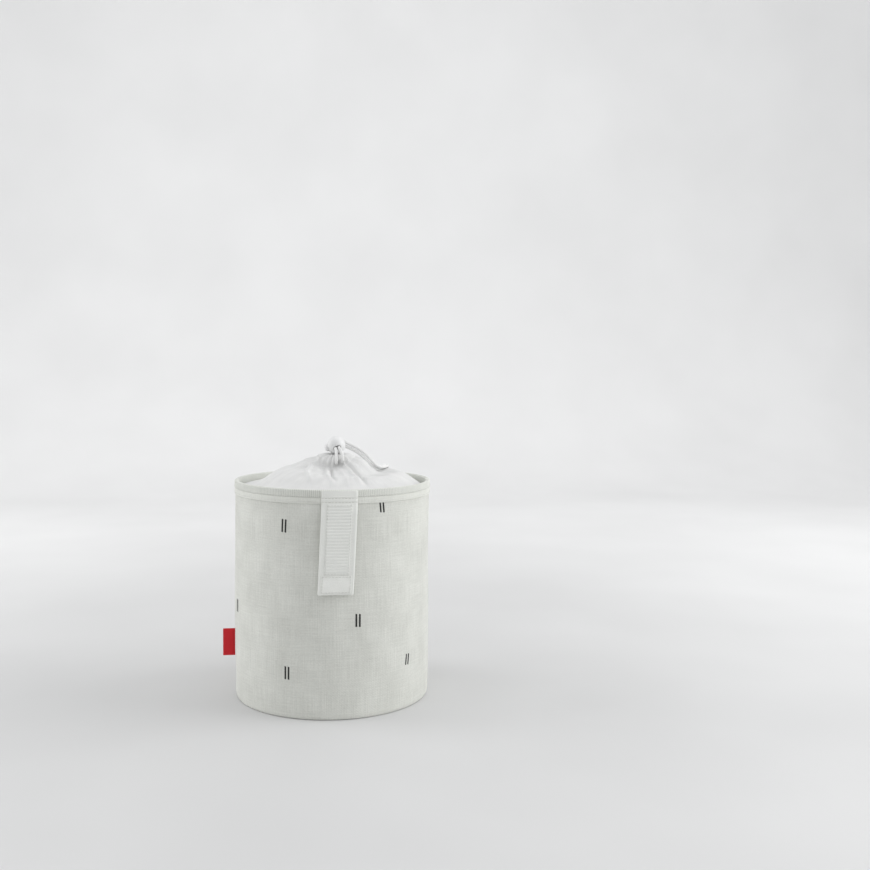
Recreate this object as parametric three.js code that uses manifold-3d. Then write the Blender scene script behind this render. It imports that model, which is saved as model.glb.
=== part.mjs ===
// Round canvas peg basket with a drawn cloth collar, a ball cord lock and a hook-and-loop strap.
// Millimetres, +Z up, origin on the floor at the centre of the base. The strap is at -Y, the side tab at -X.
import * as THREE from "three";
import { mergeVertices } from "three/addons/utils/BufferGeometryUtils.js";
import Module from "manifold-3d";

const wasm = await Module();
wasm.setup();

// Driving dimensions
const bodyRadius = 89.6;          // outside of the canvas wall
const bodyHeight = 200;           // floor to the top of the rim
const seat = 0.3;                 // gap between pieces that lie on each other
const cutOverrun = 1;             // how far a cutter runs past what it cuts
const mergeStep = 0.0001;         // vertices closer than this are one

// Cloth and board thicknesses
const canvasThickness = 1.2;
const liningThickness = 0.6;
const boardThickness = 2;
const tapeThickness = 0.6;
const collarThickness = 0.8;
const webbingThickness = 1.4;

// Rim band and hoop
const bandHeight = 12.2;
const bandTopThickness = 1.4;
const bandRounding = 0.7;
const hoopHeight = 9;
const hoopThickness = 1;

// Seam tapes inside
const baseTapeHeight = 8;
const sideTapeWidth = 12;

// Side tab
const tabReach = 11;
const tabHeight = 25;
const tabThickness = 1;
const tabMiddleHeight = 49;

// Strap and its tapes
const strapWidth = 31;
const strapLegLength = 47.5;
const strapFlapLength = 30;
const hookTapeWidth = 21;
const hookTapeMargin = 2.25;      // left bare at each end of the leg
const hookEndLength = 12.4;       // the hook tape goes on past the fold, onto the flap
const loopTapeWidth = 26;
const loopTapeLength = 15.5;
const closureThickness = 1.2;
const closureMargin = 0.6;        // from the fold to the hook tape's end piece
const strapBandMargin = 0.6;

// Drawn collar
const collarSkirtHeight = 5;
const mouthOffset = 2.5;          // the drawn mouth sits a little to the right
const hemRadius = 12;             // from the mouth's centre to the middle of the gathered hem
const hemRise = 20.6;             // height of that middle above the rim
const hemHalfWidth = 6.8;
const hemHalfThickness = 3;
const hemTilt = 8;                // the hem falls outwards
const hemFrontTilt = 50;          // and this much more at the front
const hemFrontMiddle = -108;
const hemPivotBack = 5;           // the front turns down about a line this far inside the hem's middle
const collarFrontShare = 0.55;    // the dome follows it from this share of its way in
const tunnelOut = 3;              // the drawstring's line, out from the hem's middle
const tunnelBore = 2;
const ruffleDepth = 0.45;
const foldCount = 12;
const foldDepth = 1.5;
const collarEndDrop = 0.15;       // the collar meets the hem this far below its outer edge
const collarLean = 4.1;           // on the right the dome has a shoulder and then a sag, on the left the reverse

// Drawstring
const cordDiameter = 3;
const cordSpacing = 3.4;
const cordSides = 8;
const eyeletBore = 1.65;
const eyeletWire = 0.35;
const eyeletLean = 72;            // angle of an eyelet's axis to the hem's cloth
const eyeletReach = 3.65;         // from the drawstring's line in the hem to the eyelet
const eyeletAngles = [-91.8, -73.6];
const knotRadius = 4.4;
const knotHeight = 9.5;
const knotFlatShare = 0.86;

// Cord lock
const lockRadius = 8.5;
const lockPlace = [2.8, 0, 31.2];   // its height is above the rim
const buttonTilt = 15;
const boreTilt = 15;
const buttonRadius = 3.5;
const buttonProud = 2.4;
const buttonTravel = 1.9;
const crownShare = 0.72;          // how wide the button's rounded tip is
const runningGap = 0.15;
const lockWall = 1.5;
const bridgeThickness = 1;
const springRadius = 2.5;
const springWire = 0.35;
const springTurns = 2;
const springSteps = 8;
const springSides = 5;

// Facets
const wallFacets = 48;
const collarFacets = 72;
const mouthFacets = 48;
const smallFacets = 24;

const rad = THREE.MathUtils.degToRad;

// Materials
function material(color, roughness) {
  return new THREE.MeshStandardMaterial({ color, roughness, metalness: 0 });
}
const canvas = material(0xd4d5cf, 0.9);
const coatedLining = material(0xe2e3e0, 0.55);
const board = material(0xdcdcd8, 0.6);
const ribbedTape = material(0xc9cbc4, 0.85);
const collarCloth = material(0xe4e4e6, 0.85);
const webbing = material(0xdcddd8, 0.8);
const closureTape = material(0xe0e1de, 0.75);
const cordYarn = material(0xe1e1e0, 0.8);
const moulded = material(0xd9dadb, 0.4);
const springWireMetal = new THREE.MeshStandardMaterial({ color: 0xb8bbbd, roughness: 0.3, metalness: 1 });
const redTape = material(0xa5121c, 0.7);

// Geometry helpers: every solid is one closed, outward-facing mesh
function closed(geometry) {
  const bare = geometry.index ? geometry.toNonIndexed() : geometry.clone();
  bare.deleteAttribute("normal");
  bare.deleteAttribute("uv");
  const merged = mergeVertices(bare, mergeStep);
  const index = [];
  const source = merged.index.array;
  for (let i = 0; i < source.length; i += 3) {
    const [a, b, c] = [source[i], source[i + 1], source[i + 2]];
    if (a !== b && b !== c && c !== a) index.push(a, b, c);
  }
  merged.setIndex(index);
  if (signedVolume(merged) < 0) {
    for (let i = 0; i < index.length; i += 3) [index[i], index[i + 1]] = [index[i + 1], index[i]];
    merged.setIndex(index);
  }
  return merged;
}

function signedVolume(geometry) {
  const corner = [new THREE.Vector3(), new THREE.Vector3(), new THREE.Vector3()];
  const position = geometry.attributes.position;
  const index = geometry.index.array;
  let sum = 0;
  for (let i = 0; i < index.length; i += 3) {
    corner.forEach((v, k) => v.fromBufferAttribute(position, index[i + k]));
    sum += corner[0].dot(corner[1].clone().cross(corner[2]));
  }
  return sum;
}

function lathe(profile, facets) {
  const points = [...profile, profile[0]].map(([r, z]) => new THREE.Vector2(r, z));
  return closed(new THREE.LatheGeometry(points, facets).rotateX(Math.PI / 2));
}

function tubeWall(innerRadius, outerRadius, bottom, top, facets) {
  return lathe([[innerRadius, bottom], [outerRadius, bottom], [outerRadius, top], [innerRadius, top]], facets);
}

function disc(radius, bottom, thickness) {
  const geometry = new THREE.CylinderGeometry(radius, radius, thickness, wallFacets).rotateX(Math.PI / 2);
  return closed(geometry.translate(0, 0, bottom + thickness / 2));
}

function block(width, depth, height) {
  return new THREE.BoxGeometry(width, depth, height);
}

// A curved strip of the given width that lies round the body, its middle at the given angle
function curvedStrip(innerRadius, thickness, width, bottom, height, angle) {
  const half = width / 2 / innerRadius;
  const shape = new THREE.Shape();
  shape.absarc(0, 0, innerRadius + thickness, -half, half, false);
  shape.absarc(0, 0, innerRadius, half, -half, true);
  const strip = new THREE.ExtrudeGeometry(shape, { depth: height, bevelEnabled: false, curveSegments: 8 });
  return closed(strip.rotateZ(angle).translate(0, 0, bottom));
}

function tube(points, diameter, steps, sides) {
  const curve = new THREE.CatmullRomCurve3(points, false, "centripetal");
  const section = new THREE.Shape();
  for (let i = 0; i < sides; i++) {
    const turn = (2 * Math.PI * i) / sides;
    const at = [Math.cos(turn) * diameter / 2, Math.sin(turn) * diameter / 2];
    if (i === 0) section.moveTo(...at);
    else section.lineTo(...at);
  }
  return closed(new THREE.ExtrudeGeometry(section, { steps, bevelEnabled: false, extrudePath: curve }));
}

function toManifold(geometry) {
  const solid = closed(geometry);
  return new wasm.Manifold(new wasm.Mesh({
    numProp: 3,
    vertProperties: new Float32Array(solid.attributes.position.array),
    triVerts: new Uint32Array(solid.index.array),
  }));
}

function fromManifold(solid) {
  const mesh = solid.getMesh();
  const geometry = new THREE.BufferGeometry();
  geometry.setAttribute("position", new THREE.BufferAttribute(mesh.vertProperties, 3));
  geometry.setIndex(new THREE.BufferAttribute(mesh.triVerts, 1));
  return geometry;
}

const basket = new THREE.Group();
function add(name, geometry, look, parent = basket) {
  const mesh = new THREE.Mesh(geometry, look);
  mesh.name = name;
  parent.add(mesh);
  return mesh;
}

const rimTop = new THREE.Vector3(0, 0, bodyHeight);
const hemHeight = bodyHeight + hemRise;

// Layers of the wall and the base, from the outside inwards and from the floor up
const canvasInner = bodyRadius - canvasThickness;
const liningOuter = canvasInner - seat;
const liningInner = liningOuter - liningThickness;
const boardBottom = canvasThickness + seat;
const baseLiningBottom = boardBottom + boardThickness + seat;
const baseLiningTop = baseLiningBottom + liningThickness;
const bandBottom = bodyHeight - bandHeight;
const bandUnderside = bodyHeight - bandTopThickness;
const hoopTop = bandUnderside - seat - seat;
const canvasTop = hoopTop - hoopHeight - seat;
const bandOuter = bodyRadius + seat + tapeThickness;
const bandInner = liningInner - seat - tapeThickness;

function addBody() {
  add("wall_canvas", tubeWall(canvasInner, bodyRadius, 0, canvasTop, wallFacets), canvas);
  add("wall_lining", tubeWall(liningInner, liningOuter, boardBottom, hoopTop, wallFacets), coatedLining);
  add("base_canvas", disc(canvasInner - seat, 0, canvasThickness), canvas);
  add("base_board", disc(liningInner - seat, boardBottom, boardThickness), board);
  add("base_lining", disc(liningInner - seat, baseLiningBottom, liningThickness), coatedLining);
  const tapeOuter = liningInner - seat;
  const tapeBottom = baseLiningTop + seat;
  const baseTape = tubeWall(tapeOuter - tapeThickness, tapeOuter, tapeBottom, tapeBottom + baseTapeHeight, wallFacets);
  add("base_seam_tape", baseTape, ribbedTape);
  const sideBottom = tapeBottom + baseTapeHeight + seat;
  const sideHeight = bandBottom - seat - sideBottom;
  const sideRadius = tapeOuter * Math.cos(Math.PI / wallFacets) - tapeThickness;
  const sideTape = curvedStrip(sideRadius, tapeThickness, sideTapeWidth, sideBottom, sideHeight, Math.PI);
  add("side_seam_tape", sideTape, ribbedTape);
}

function addRim() {
  const hoopMiddle = bodyRadius - canvasThickness / 2;
  const hoopInner = hoopMiddle - hoopThickness / 2;
  add("rim_hoop", tubeWall(hoopInner, hoopInner + hoopThickness, hoopTop - hoopHeight, hoopTop, wallFacets), board);
  add("rim_binding", lathe([
    [bandOuter - tapeThickness, bandBottom],
    [bandOuter, bandBottom],
    [bandOuter, bodyHeight - bandRounding],
    [bandOuter - bandRounding, bodyHeight],
    [bandInner + bandRounding, bodyHeight],
    [bandInner, bodyHeight - bandRounding],
    [bandInner, bandBottom],
    [bandInner + tapeThickness, bandBottom],
    [bandInner + tapeThickness, bandUnderside],
    [bandOuter - tapeThickness, bandUnderside],
  ], wallFacets), ribbedTape);
}

function addSideTab() {
  const tab = add("side_tab", closed(block(tabReach, tabThickness, tabHeight)), redTape);
  tab.position.set(-(bodyRadius + seat + tabReach / 2), 0, tabMiddleHeight);
}

// Strap: a stretch sewn over the band, then a leg and a flap that hang in front of the wall
const strapInner = bandOuter + seat;
const strapOuter = strapInner + webbingThickness;
const strapFront = strapOuter + seat + closureThickness;
const strapSewnBottom = bandBottom + seat;
const strapHingeHeight = strapSewnBottom;
const legTop = strapHingeHeight - seat;
const legBottom = legTop - strapLegLength;
const flapTop = legBottom - seat;

function hangingPlate(name, width, back, front, top, length, look) {
  const plate = add(name, closed(block(width, front - back, length)), look);
  plate.position.set(0, -(back + front) / 2, top - length / 2);
}

function addStrap() {
  const sewnHeight = bodyHeight - strapBandMargin - strapSewnBottom;
  const sewn = curvedStrip(strapInner, webbingThickness, strapWidth, strapSewnBottom, sewnHeight, -Math.PI / 2);
  add("strap_sewn_end", sewn, webbing);
  const closureBack = strapOuter + seat;
  const hookTapeLength = strapLegLength - 2 * hookTapeMargin;
  const hookTop = legTop - hookTapeMargin;
  const hookEndTop = flapTop - closureMargin;
  const loopTop = hookEndTop - hookEndLength - seat;
  hangingPlate("strap_leg", strapWidth, strapInner, strapOuter, legTop, strapLegLength, webbing);
  hangingPlate("hook_tape", hookTapeWidth, closureBack, strapFront, hookTop, hookTapeLength, closureTape);
  hangingPlate("strap_flap", strapWidth, strapInner, strapOuter, flapTop, strapFlapLength, webbing);
  hangingPlate("hook_tape_end", hookTapeWidth, closureBack, strapFront, hookEndTop, hookEndLength, closureTape);
  hangingPlate("loop_tape", loopTapeWidth, closureBack, strapFront, loopTop, loopTapeLength, closureTape);
}

// Collar: a thin cloth dome, sewn inside the rim and gathered into folds towards the mouth
const skirtRadius = bandInner - seat - seat - collarThickness / 2;
const skirtBottom = bodyHeight - bandHeight + seat;
const skirtTop = skirtBottom + collarSkirtHeight;

function ease(share) {
  const held = Math.min(1, Math.max(0, share));
  return held * held * (3 - 2 * held);
}

// Radius and height of a point of the hem: out along the cloth from its middle, above the cloth, and where round it
function hemPlace(out, above, frontShare) {
  const tilt = rad(hemTilt + hemFrontTilt * frontShare);
  const along = hemPivotBack + out;
  return [
    hemRadius - hemPivotBack * Math.cos(rad(hemTilt)) + along * Math.cos(tilt) + above * Math.sin(tilt),
    hemHeight + hemPivotBack * Math.sin(rad(hemTilt)) - along * Math.sin(tilt) + above * Math.cos(tilt),
  ];
}

function frontShareAt(turn) {
  return Math.max(0, Math.cos(turn - rad(hemFrontMiddle))) ** 2;
}

function collarEnd(frontShare) {
  return hemPlace(hemHalfWidth + ruffleDepth + seat, -collarEndDrop, frontShare);
}
const [collarInnerEnd, collarTop] = collarEnd(0);
const collarRise = collarTop - skirtTop;

// Profile of the dome: share of the way in from the skirt, share of the rise above it
const domeShares = [
  [0, 0], [0.09, 0.093], [0.2, 0.2], [0.3, 0.325], [0.42, 0.46], [0.54, 0.51], [0.68, 0.565], [0.82, 0.775],
  [0.92, 0.975], [1, 1],
];
const leanShare = 0.03;           // the lean turns from shoulder to sag this much before half way in
// The folds deepen towards the mouth and close in under the hem; a second, slower wave makes them uneven
const gatherShare = 6;
const slowWaveShare = 0.35;
const slowWaveCount = 5;
const foldPhase = 0.4;

function domeShape(share, turn) {
  const held = Math.min(1, share);
  const lean = collarLean * Math.sin(Math.PI * held) * Math.sin(2 * Math.PI * (held + leanShare));
  const gather = gatherShare * share * share * Math.max(0, 1 - share);
  const fold = Math.cos(foldCount * turn + foldPhase) + slowWaveShare * Math.cos(slowWaveCount * turn);
  return foldDepth * gather * fold + lean * Math.cos(turn);
}

function addCollar() {
  const middle = domeShares.map(([inShare, upShare]) => [
    skirtRadius - inShare * (skirtRadius - collarInnerEnd),
    skirtTop + upShare * collarRise,
  ]);
  const half = collarThickness / 2;
  const line = [[skirtRadius, skirtBottom], ...middle].map(([r, z]) => new THREE.Vector2(r, z));
  const sides = line.map((point, i) => {
    const before = line[Math.max(0, i - 1)];
    const after = line[Math.min(line.length - 1, i + 1)];
    const along = after.clone().sub(before).normalize();
    return new THREE.Vector2(along.y, -along.x).multiplyScalar(half);
  });
  const outer = line.map((point, i) => point.clone().add(sides[i]));
  const inner = line.map((point, i) => point.clone().sub(sides[i])).reverse();
  const dome = lathe([...outer, ...inner].map((point) => [point.x, point.y]), collarFacets);
  const position = dome.attributes.position;
  for (let i = 0; i < position.count; i++) {
    const [x, y, z] = [position.getX(i), position.getY(i), position.getZ(i)];
    const [radius, turn] = [Math.hypot(x, y), Math.atan2(y, x)];
    const share = Math.max(0, (skirtRadius - radius) / (skirtRadius - collarInnerEnd));
    const front = ease((share - collarFrontShare) / (1 - collarFrontShare));
    const [endRadius, endHeight] = collarEnd(frontShareAt(turn));
    const drawn = 1 - (front * (collarInnerEnd - endRadius)) / radius;
    const lift = z > skirtTop - half ? domeShape(share, turn) - front * (collarTop - endHeight) : 0;
    position.setXYZ(i, x * drawn + mouthOffset * share, y * drawn, z + lift);
  }
  add("collar", dome, collarCloth);
}

// Hem: a flat gathered ring with a tunnel for the drawstring and two eyelet holes at the front
const mouthCentre = new THREE.Vector3(mouthOffset, 0, 0);

// A closed oval ring in the hem, its middle at the given distance out
function hemRing(middleOut, halfWidth, halfThickness, steps, shift, ruffle) {
  const points = [];
  const index = [];
  for (let i = 0; i < mouthFacets; i++) {
    const turn = (2 * Math.PI * i) / mouthFacets;
    for (let j = 0; j < steps; j++) {
      const round = (2 * Math.PI * (j + shift)) / steps;
      const crimp = ruffle * Math.max(0, Math.cos(round)) * Math.cos(foldCount * turn);
      const out = middleOut + halfWidth * Math.cos(round) + crimp;
      const [radius, height] = hemPlace(out, halfThickness * Math.sin(round), frontShareAt(turn));
      points.push(radius * Math.cos(turn), radius * Math.sin(turn), height);
      const [here, next] = [i * steps, ((i + 1) % mouthFacets) * steps];
      const k = (j + 1) % steps;
      index.push(here + j, next + j, here + k, here + k, next + j, next + k);
    }
  }
  const geometry = new THREE.BufferGeometry();
  geometry.setAttribute("position", new THREE.Float32BufferAttribute(points, 3));
  geometry.setIndex(index);
  return toManifold(geometry);
}

function eyeletDirection(degrees) {
  return new THREE.Vector3(Math.cos(rad(degrees)), Math.sin(rad(degrees)), 0);
}

function eyeletAxis(degrees) {
  const lift = rad(eyeletLean - hemTilt - hemFrontTilt * frontShareAt(rad(degrees)));
  const up = new THREE.Vector3(0, 0, Math.sin(lift));
  return eyeletDirection(degrees).multiplyScalar(Math.cos(lift)).add(up);
}

function tunnelPoint(turn) {
  const [radius, height] = hemPlace(tunnelOut, 0, frontShareAt(turn));
  return new THREE.Vector3(radius * Math.cos(turn), radius * Math.sin(turn), height);
}

function addMouth() {
  let hem = hemRing(0, hemHalfWidth, hemHalfThickness, 12, 0, ruffleDepth);
  hem = hem.subtract(hemRing(tunnelOut, tunnelBore, tunnelBore, 8, 1 / 2, 0));
  for (const degrees of eyeletAngles) {
    const length = eyeletReach + cutOverrun;
    const hole = new THREE.CylinderGeometry(eyeletBore, eyeletBore, length, 12);
    hole.rotateZ(-Math.PI / 2).translate(length / 2, 0, 0);
    hole.applyQuaternion(new THREE.Quaternion().setFromUnitVectors(new THREE.Vector3(1, 0, 0), eyeletAxis(degrees)));
    hem = hem.subtract(toManifold(hole.translate(...tunnelPoint(rad(degrees)))));
  }
  add("collar_channel", fromManifold(hem), collarCloth).position.copy(mouthCentre);
  eyeletAngles.forEach((degrees, i) => {
    const ring = closed(new THREE.TorusGeometry(eyeletBore + eyeletWire + runningGap, eyeletWire, 6, 16));
    const eyelet = add(["eyelet_left", "eyelet_right"][i], ring, cordYarn);
    const axis = eyeletAxis(degrees);
    eyelet.position.copy(tunnelPoint(rad(degrees)).add(mouthCentre).addScaledVector(axis, eyeletReach));
    eyelet.quaternion.setFromUnitVectors(new THREE.Vector3(0, 0, 1), axis);
  });
}

// Cord lock: a ball with a cross bore for the two cords, a well for the button and a spring behind it
const lockCentre = new THREE.Vector3(...lockPlace).add(rimTop);
const buttonWay = new THREE.Vector3(Math.cos(rad(buttonTilt)), 0, Math.sin(rad(buttonTilt)));
const boreRise = new THREE.Vector3(-Math.sin(rad(buttonTilt)), 0, Math.cos(rad(buttonTilt)));
const boreWay = new THREE.Vector3(0, Math.cos(rad(boreTilt)), 0).addScaledVector(boreRise, Math.sin(rad(boreTilt)));
const lockUp = buttonWay.clone().cross(boreWay);

// An oval prism along the bore, for the bore itself and for the button's slot
function ovalPrism(left, right, height, length) {
  const radius = height / 2;
  const shape = new THREE.Shape();
  shape.absarc(right - radius, 0, radius, -Math.PI / 2, Math.PI / 2, false);
  shape.absarc(left + radius, 0, radius, Math.PI / 2, (3 * Math.PI) / 2, false);
  const prism = new THREE.ExtrudeGeometry(shape, { depth: length, bevelEnabled: false, curveSegments: 6 });
  return prism.translate(0, 0, -length / 2).rotateX(-Math.PI / 2);
}

function addLock() {
  const lock = new THREE.Group();
  lock.position.copy(lockCentre);
  lock.quaternion.setFromRotationMatrix(new THREE.Matrix4().makeBasis(buttonWay, boreWay, lockUp));
  basket.add(lock);
  const pairHalf = (cordSpacing + cordDiameter) / 2;
  const slotHeight = cordDiameter + seat + seat;
  const wellRadius = buttonRadius + runningGap;
  const wellBottom = lockRadius - lockWall;
  const outside = lockRadius + cutOverrun;
  const ball = toManifold(new THREE.SphereGeometry(lockRadius, smallFacets, smallFacets / 2).rotateX(Math.PI / 2));
  const wellLength = outside + wellBottom;
  const well = new THREE.CylinderGeometry(wellRadius, wellRadius, wellLength, smallFacets).rotateZ(Math.PI / 2);
  well.translate(wellBottom - wellLength / 2, 0, 0);
  const bore = ovalPrism(-pairHalf - seat, pairHalf + seat, slotHeight, 2 * outside);
  add("lock_ball", fromManifold(ball.subtract(toManifold(well)).subtract(toManifold(bore))), moulded, lock);

  const slotRight = pairHalf + seat;
  const slotLeft = -pairHalf - seat - buttonTravel;
  const buttonEnd = slotRight + bridgeThickness;
  const buttonTip = -(lockRadius + buttonProud);
  const crown = buttonProud / 2;
  const stem = [[0, buttonTip], [buttonRadius * crownShare, buttonTip + crown / 3], [buttonRadius, buttonTip + crown]];
  const profile = [...stem, [buttonRadius, buttonEnd], [0, buttonEnd]].map(([r, x]) => new THREE.Vector2(r, x));
  const turned = closed(new THREE.LatheGeometry(profile, smallFacets).rotateZ(-Math.PI / 2));
  const slot = ovalPrism(slotLeft, slotRight, slotHeight, 2 * (buttonRadius + cutOverrun));
  add("lock_button", fromManifold(toManifold(turned).subtract(toManifold(slot))), moulded, lock);

  const springStart = buttonEnd + seat / 2 + springWire / 2;
  const springEnd = wellBottom - seat / 2 - springWire / 2;
  const coil = [];
  const steps = springTurns * springSteps;
  for (let i = 0; i <= steps; i++) {
    const turn = (2 * Math.PI * i) / springSteps;
    const along = springStart + ((springEnd - springStart) * i) / steps;
    coil.push(new THREE.Vector3(along, springRadius * Math.cos(turn), springRadius * Math.sin(turn)));
  }
  add("lock_spring", tube(coil, springWire, steps, springSides), springWireMetal, lock);
}

// Drawstring: the run in the hem, the two short runs up to the lock, and the two tails.
// Each route point of the tails: where the pair's middle lies, its height counted from the rim, and which way
// the left cord lies from it.
const tailRoute = [
  [3.34, -7.73, 29.2, -0.966, 0, -0.259],
  [2.8, 0, 31.2, -0.966, 0, -0.259],
  [2.2, 8.6, 33.4, -0.966, 0, -0.259],
  [2.15, 11, 34.1, -0.97, 0.03, 0.05],
  [4.2, 13.3, 34.2, -0.62, 0.1, 0.77],
  [8.6, 13, 33, -0.12, 0, 0.99],
  [14, 12, 30.3, 0.33, 0, 0.94],
  [21, 10.4, 27, 0.5, 0, 0.86],
  [28.2, 9, 22.3, 0.62, 0, 0.78],
  [34, 8.8, 16.7, 0.7, -0.1, 0.7],
  [38.8, 10.6, 11.8, 0.7, -0.4, 0.6],
  [43.6, 15, 9, 0.75, -0.6, 0.3],
  [48.6, 21.4, 8.6, 0.85, -0.45, 0.05],
  [52.4, 27.5, 9.2, 0.95, -0.25, -0.05],
  [53.3, 39.5, 6.6, 1, -0.05, -0.05],
  [52.7, 51.5, 4.4, 1, 0.05, 0],
  [51.6, 62.5, 2.9, 1, 0.05, 0],
  [51, 70.5, 2.3, 1, 0, 0],
  [50.7, 75.2, 2.1, 0.96, -0.2, 0],
  [50.5, 77.2, 1, 0.9, -0.4, 0],
  [50.4, 78, -2, 0.85, -0.53, 0],
  [50.4, 78, -10, 0.84, -0.54, 0],
  [50.2, 78.1, -28, 0.84, -0.54, 0],
  [49.7, 78.4, -50, 0.84, -0.54, 0],
  [49.5, 78.5, -72, 0.83, -0.56, 0],
  [49.8, 78.3, -94, 0.83, -0.56, 0],
  [50.3, 78, -119, 0.84, -0.54, 0],
];
const tailSteps = 40;
const knotPlace = [51.5, 79.6, -124.2];

// The short runs: how far out from the eyelet's own radius and how far above it, on their way up to the lock
const runRoute = [
  [1.7, 2.2],
  [1, 5.2],
  [-1.7, 9],
];

function addDrawstring() {
  const gapAngle = (cordDiameter + seat) / (hemRadius + tunnelOut);
  const from = rad(eyeletAngles[1]) + gapAngle;
  const sweep = 2 * Math.PI - (rad(eyeletAngles[1]) - rad(eyeletAngles[0])) - 2 * gapAngle;
  const ring = [];
  const ringSteps = 32;
  for (let i = 0; i <= ringSteps; i++) ring.push(tunnelPoint(from + (sweep * i) / ringSteps).add(mouthCentre));
  add("drawstring_in_channel", tube(ring, cordDiameter, ringSteps, cordSides), cordYarn);

  const mouthOfBore = new THREE.Vector3(...tailRoute[0].slice(0, 3)).add(rimTop).addScaledVector(boreWay, -seat);
  eyeletAngles.forEach((degrees, i) => {
    const side = i === 0 ? -1 : 1;
    const out = eyeletDirection(degrees);
    const axis = eyeletAxis(degrees);
    const start = tunnelPoint(rad(degrees)).add(mouthCentre);
    const eyelet = start.clone().addScaledVector(axis, eyeletReach);
    const lockEnd = mouthOfBore.clone().addScaledVector(buttonWay, (side * cordSpacing) / 2);
    const before = lockEnd.clone().addScaledVector(boreWay, -cordDiameter);
    const up = new THREE.Vector3(0, 0, 1);
    const route = [
      start.clone().addScaledVector(axis, cordDiameter / 4),
      start.clone().addScaledVector(axis, eyeletReach / 2),
      eyelet,
      ...runRoute.map(([outward, above]) => eyelet.clone().addScaledVector(out, outward).addScaledVector(up, above)),
      before,
      lockEnd,
    ];
    add(["drawstring_run_left", "drawstring_run_right"][i], tube(route, cordDiameter, 14, cordSides), cordYarn);
  });

  const middle = tailRoute.map((row) => new THREE.Vector3(...row.slice(0, 3)).add(rimTop));
  const last = middle.length - 1;
  [1, -1].forEach((side, i) => {
    const route = middle.map((point, k) => {
      const along = middle[Math.min(last, k + 1)].clone().sub(middle[Math.max(0, k - 1)]).normalize();
      const toLeft = new THREE.Vector3(...tailRoute[k].slice(3));
      toLeft.addScaledVector(along, -toLeft.dot(along)).normalize();
      return point.clone().addScaledVector(toLeft, (side * cordSpacing) / 2);
    });
    const name = ["drawstring_tail_left", "drawstring_tail_right"][i];
    add(name, tube(route, cordDiameter, tailSteps, cordSides), cordYarn);
  });
  const knot = closed(new THREE.SphereGeometry(knotRadius, 12, 8).rotateX(Math.PI / 2));
  knot.scale(1, knotFlatShare, knotHeight / (2 * knotRadius));
  const knotMesh = add("drawstring_knot", knot, cordYarn);
  knotMesh.position.set(...knotPlace).add(rimTop);
}

addBody();
addRim();
addSideTab();
addStrap();
addCollar();
addMouth();
addLock();
addDrawstring();

export default basket;
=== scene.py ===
"""Looks of the round canvas peg basket: cloth wall, drawn collar, ball cord lock and folding strap.

Lengths are in millimetres in the lists and constants below, and become metres where a mesh is made.
+Z is up, the strap is at -Y and the side tab at -X.
"""

import math

import bmesh
import bpy
from mathutils import Matrix, Vector


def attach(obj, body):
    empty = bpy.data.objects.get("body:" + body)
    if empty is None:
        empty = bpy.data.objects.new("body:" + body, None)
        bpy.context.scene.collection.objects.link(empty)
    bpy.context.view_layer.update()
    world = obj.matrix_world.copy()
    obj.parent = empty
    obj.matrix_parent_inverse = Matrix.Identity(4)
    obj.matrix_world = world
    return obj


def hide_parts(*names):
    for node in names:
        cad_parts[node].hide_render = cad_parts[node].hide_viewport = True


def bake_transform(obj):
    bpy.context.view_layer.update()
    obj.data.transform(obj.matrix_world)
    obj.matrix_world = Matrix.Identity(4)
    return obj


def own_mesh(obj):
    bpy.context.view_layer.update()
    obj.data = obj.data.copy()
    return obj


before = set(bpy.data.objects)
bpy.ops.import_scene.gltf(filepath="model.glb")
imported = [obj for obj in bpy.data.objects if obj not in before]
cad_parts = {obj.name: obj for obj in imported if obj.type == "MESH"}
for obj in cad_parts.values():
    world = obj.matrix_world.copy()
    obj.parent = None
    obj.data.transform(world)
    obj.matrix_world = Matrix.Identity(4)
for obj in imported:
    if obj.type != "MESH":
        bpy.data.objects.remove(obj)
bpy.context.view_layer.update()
scene = bpy.context.scene

MM = 0.001
TAU = 2 * math.pi
UP = Vector((0, 0, 1))

# Body
BODY_RADIUS = 89.6
BODY_HEIGHT = 200.0
CANVAS_TOP = 188.7
CANVAS_INNER = 88.4
LINING_OUTER = 88.1
LINING_INNER = 87.5
WALL_STEPS = 320
SEAM_TURN = 0.069

# Rim
BAND_BOTTOM = 187.8
BAND_OUTER = 90.5
BAND_INNER = 86.6
TAPE_EDGE = 193.5
RIB_PITCH = 1.7
RIB_COUNT = 334

# Strap
STRAP_HALF = 15.5
STRAP_BACK = 90.8
STRAP_THICKNESS = 1.4
STRAP_TOP = 199.4
STRAP_SPLIT = 164.0
STRAP_BOTTOM = 110.0
STRAP_LEAN = 3.3
STRAP_RIB = 2.7
SEWN_ROWS = (193.0, 189.5)
FURROW_DEPTH = 0.34
FURROW_HALF = 0.55
SELVEDGE_FROM = 12.6
PANEL_HALF = 10.7
PANEL_SEAM = 9.9
PANEL_BOTTOM = 127.0
PAD_HALF = 13.0
PAD_TOP = 126.6
PAD_BOTTOM = 111.2

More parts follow.
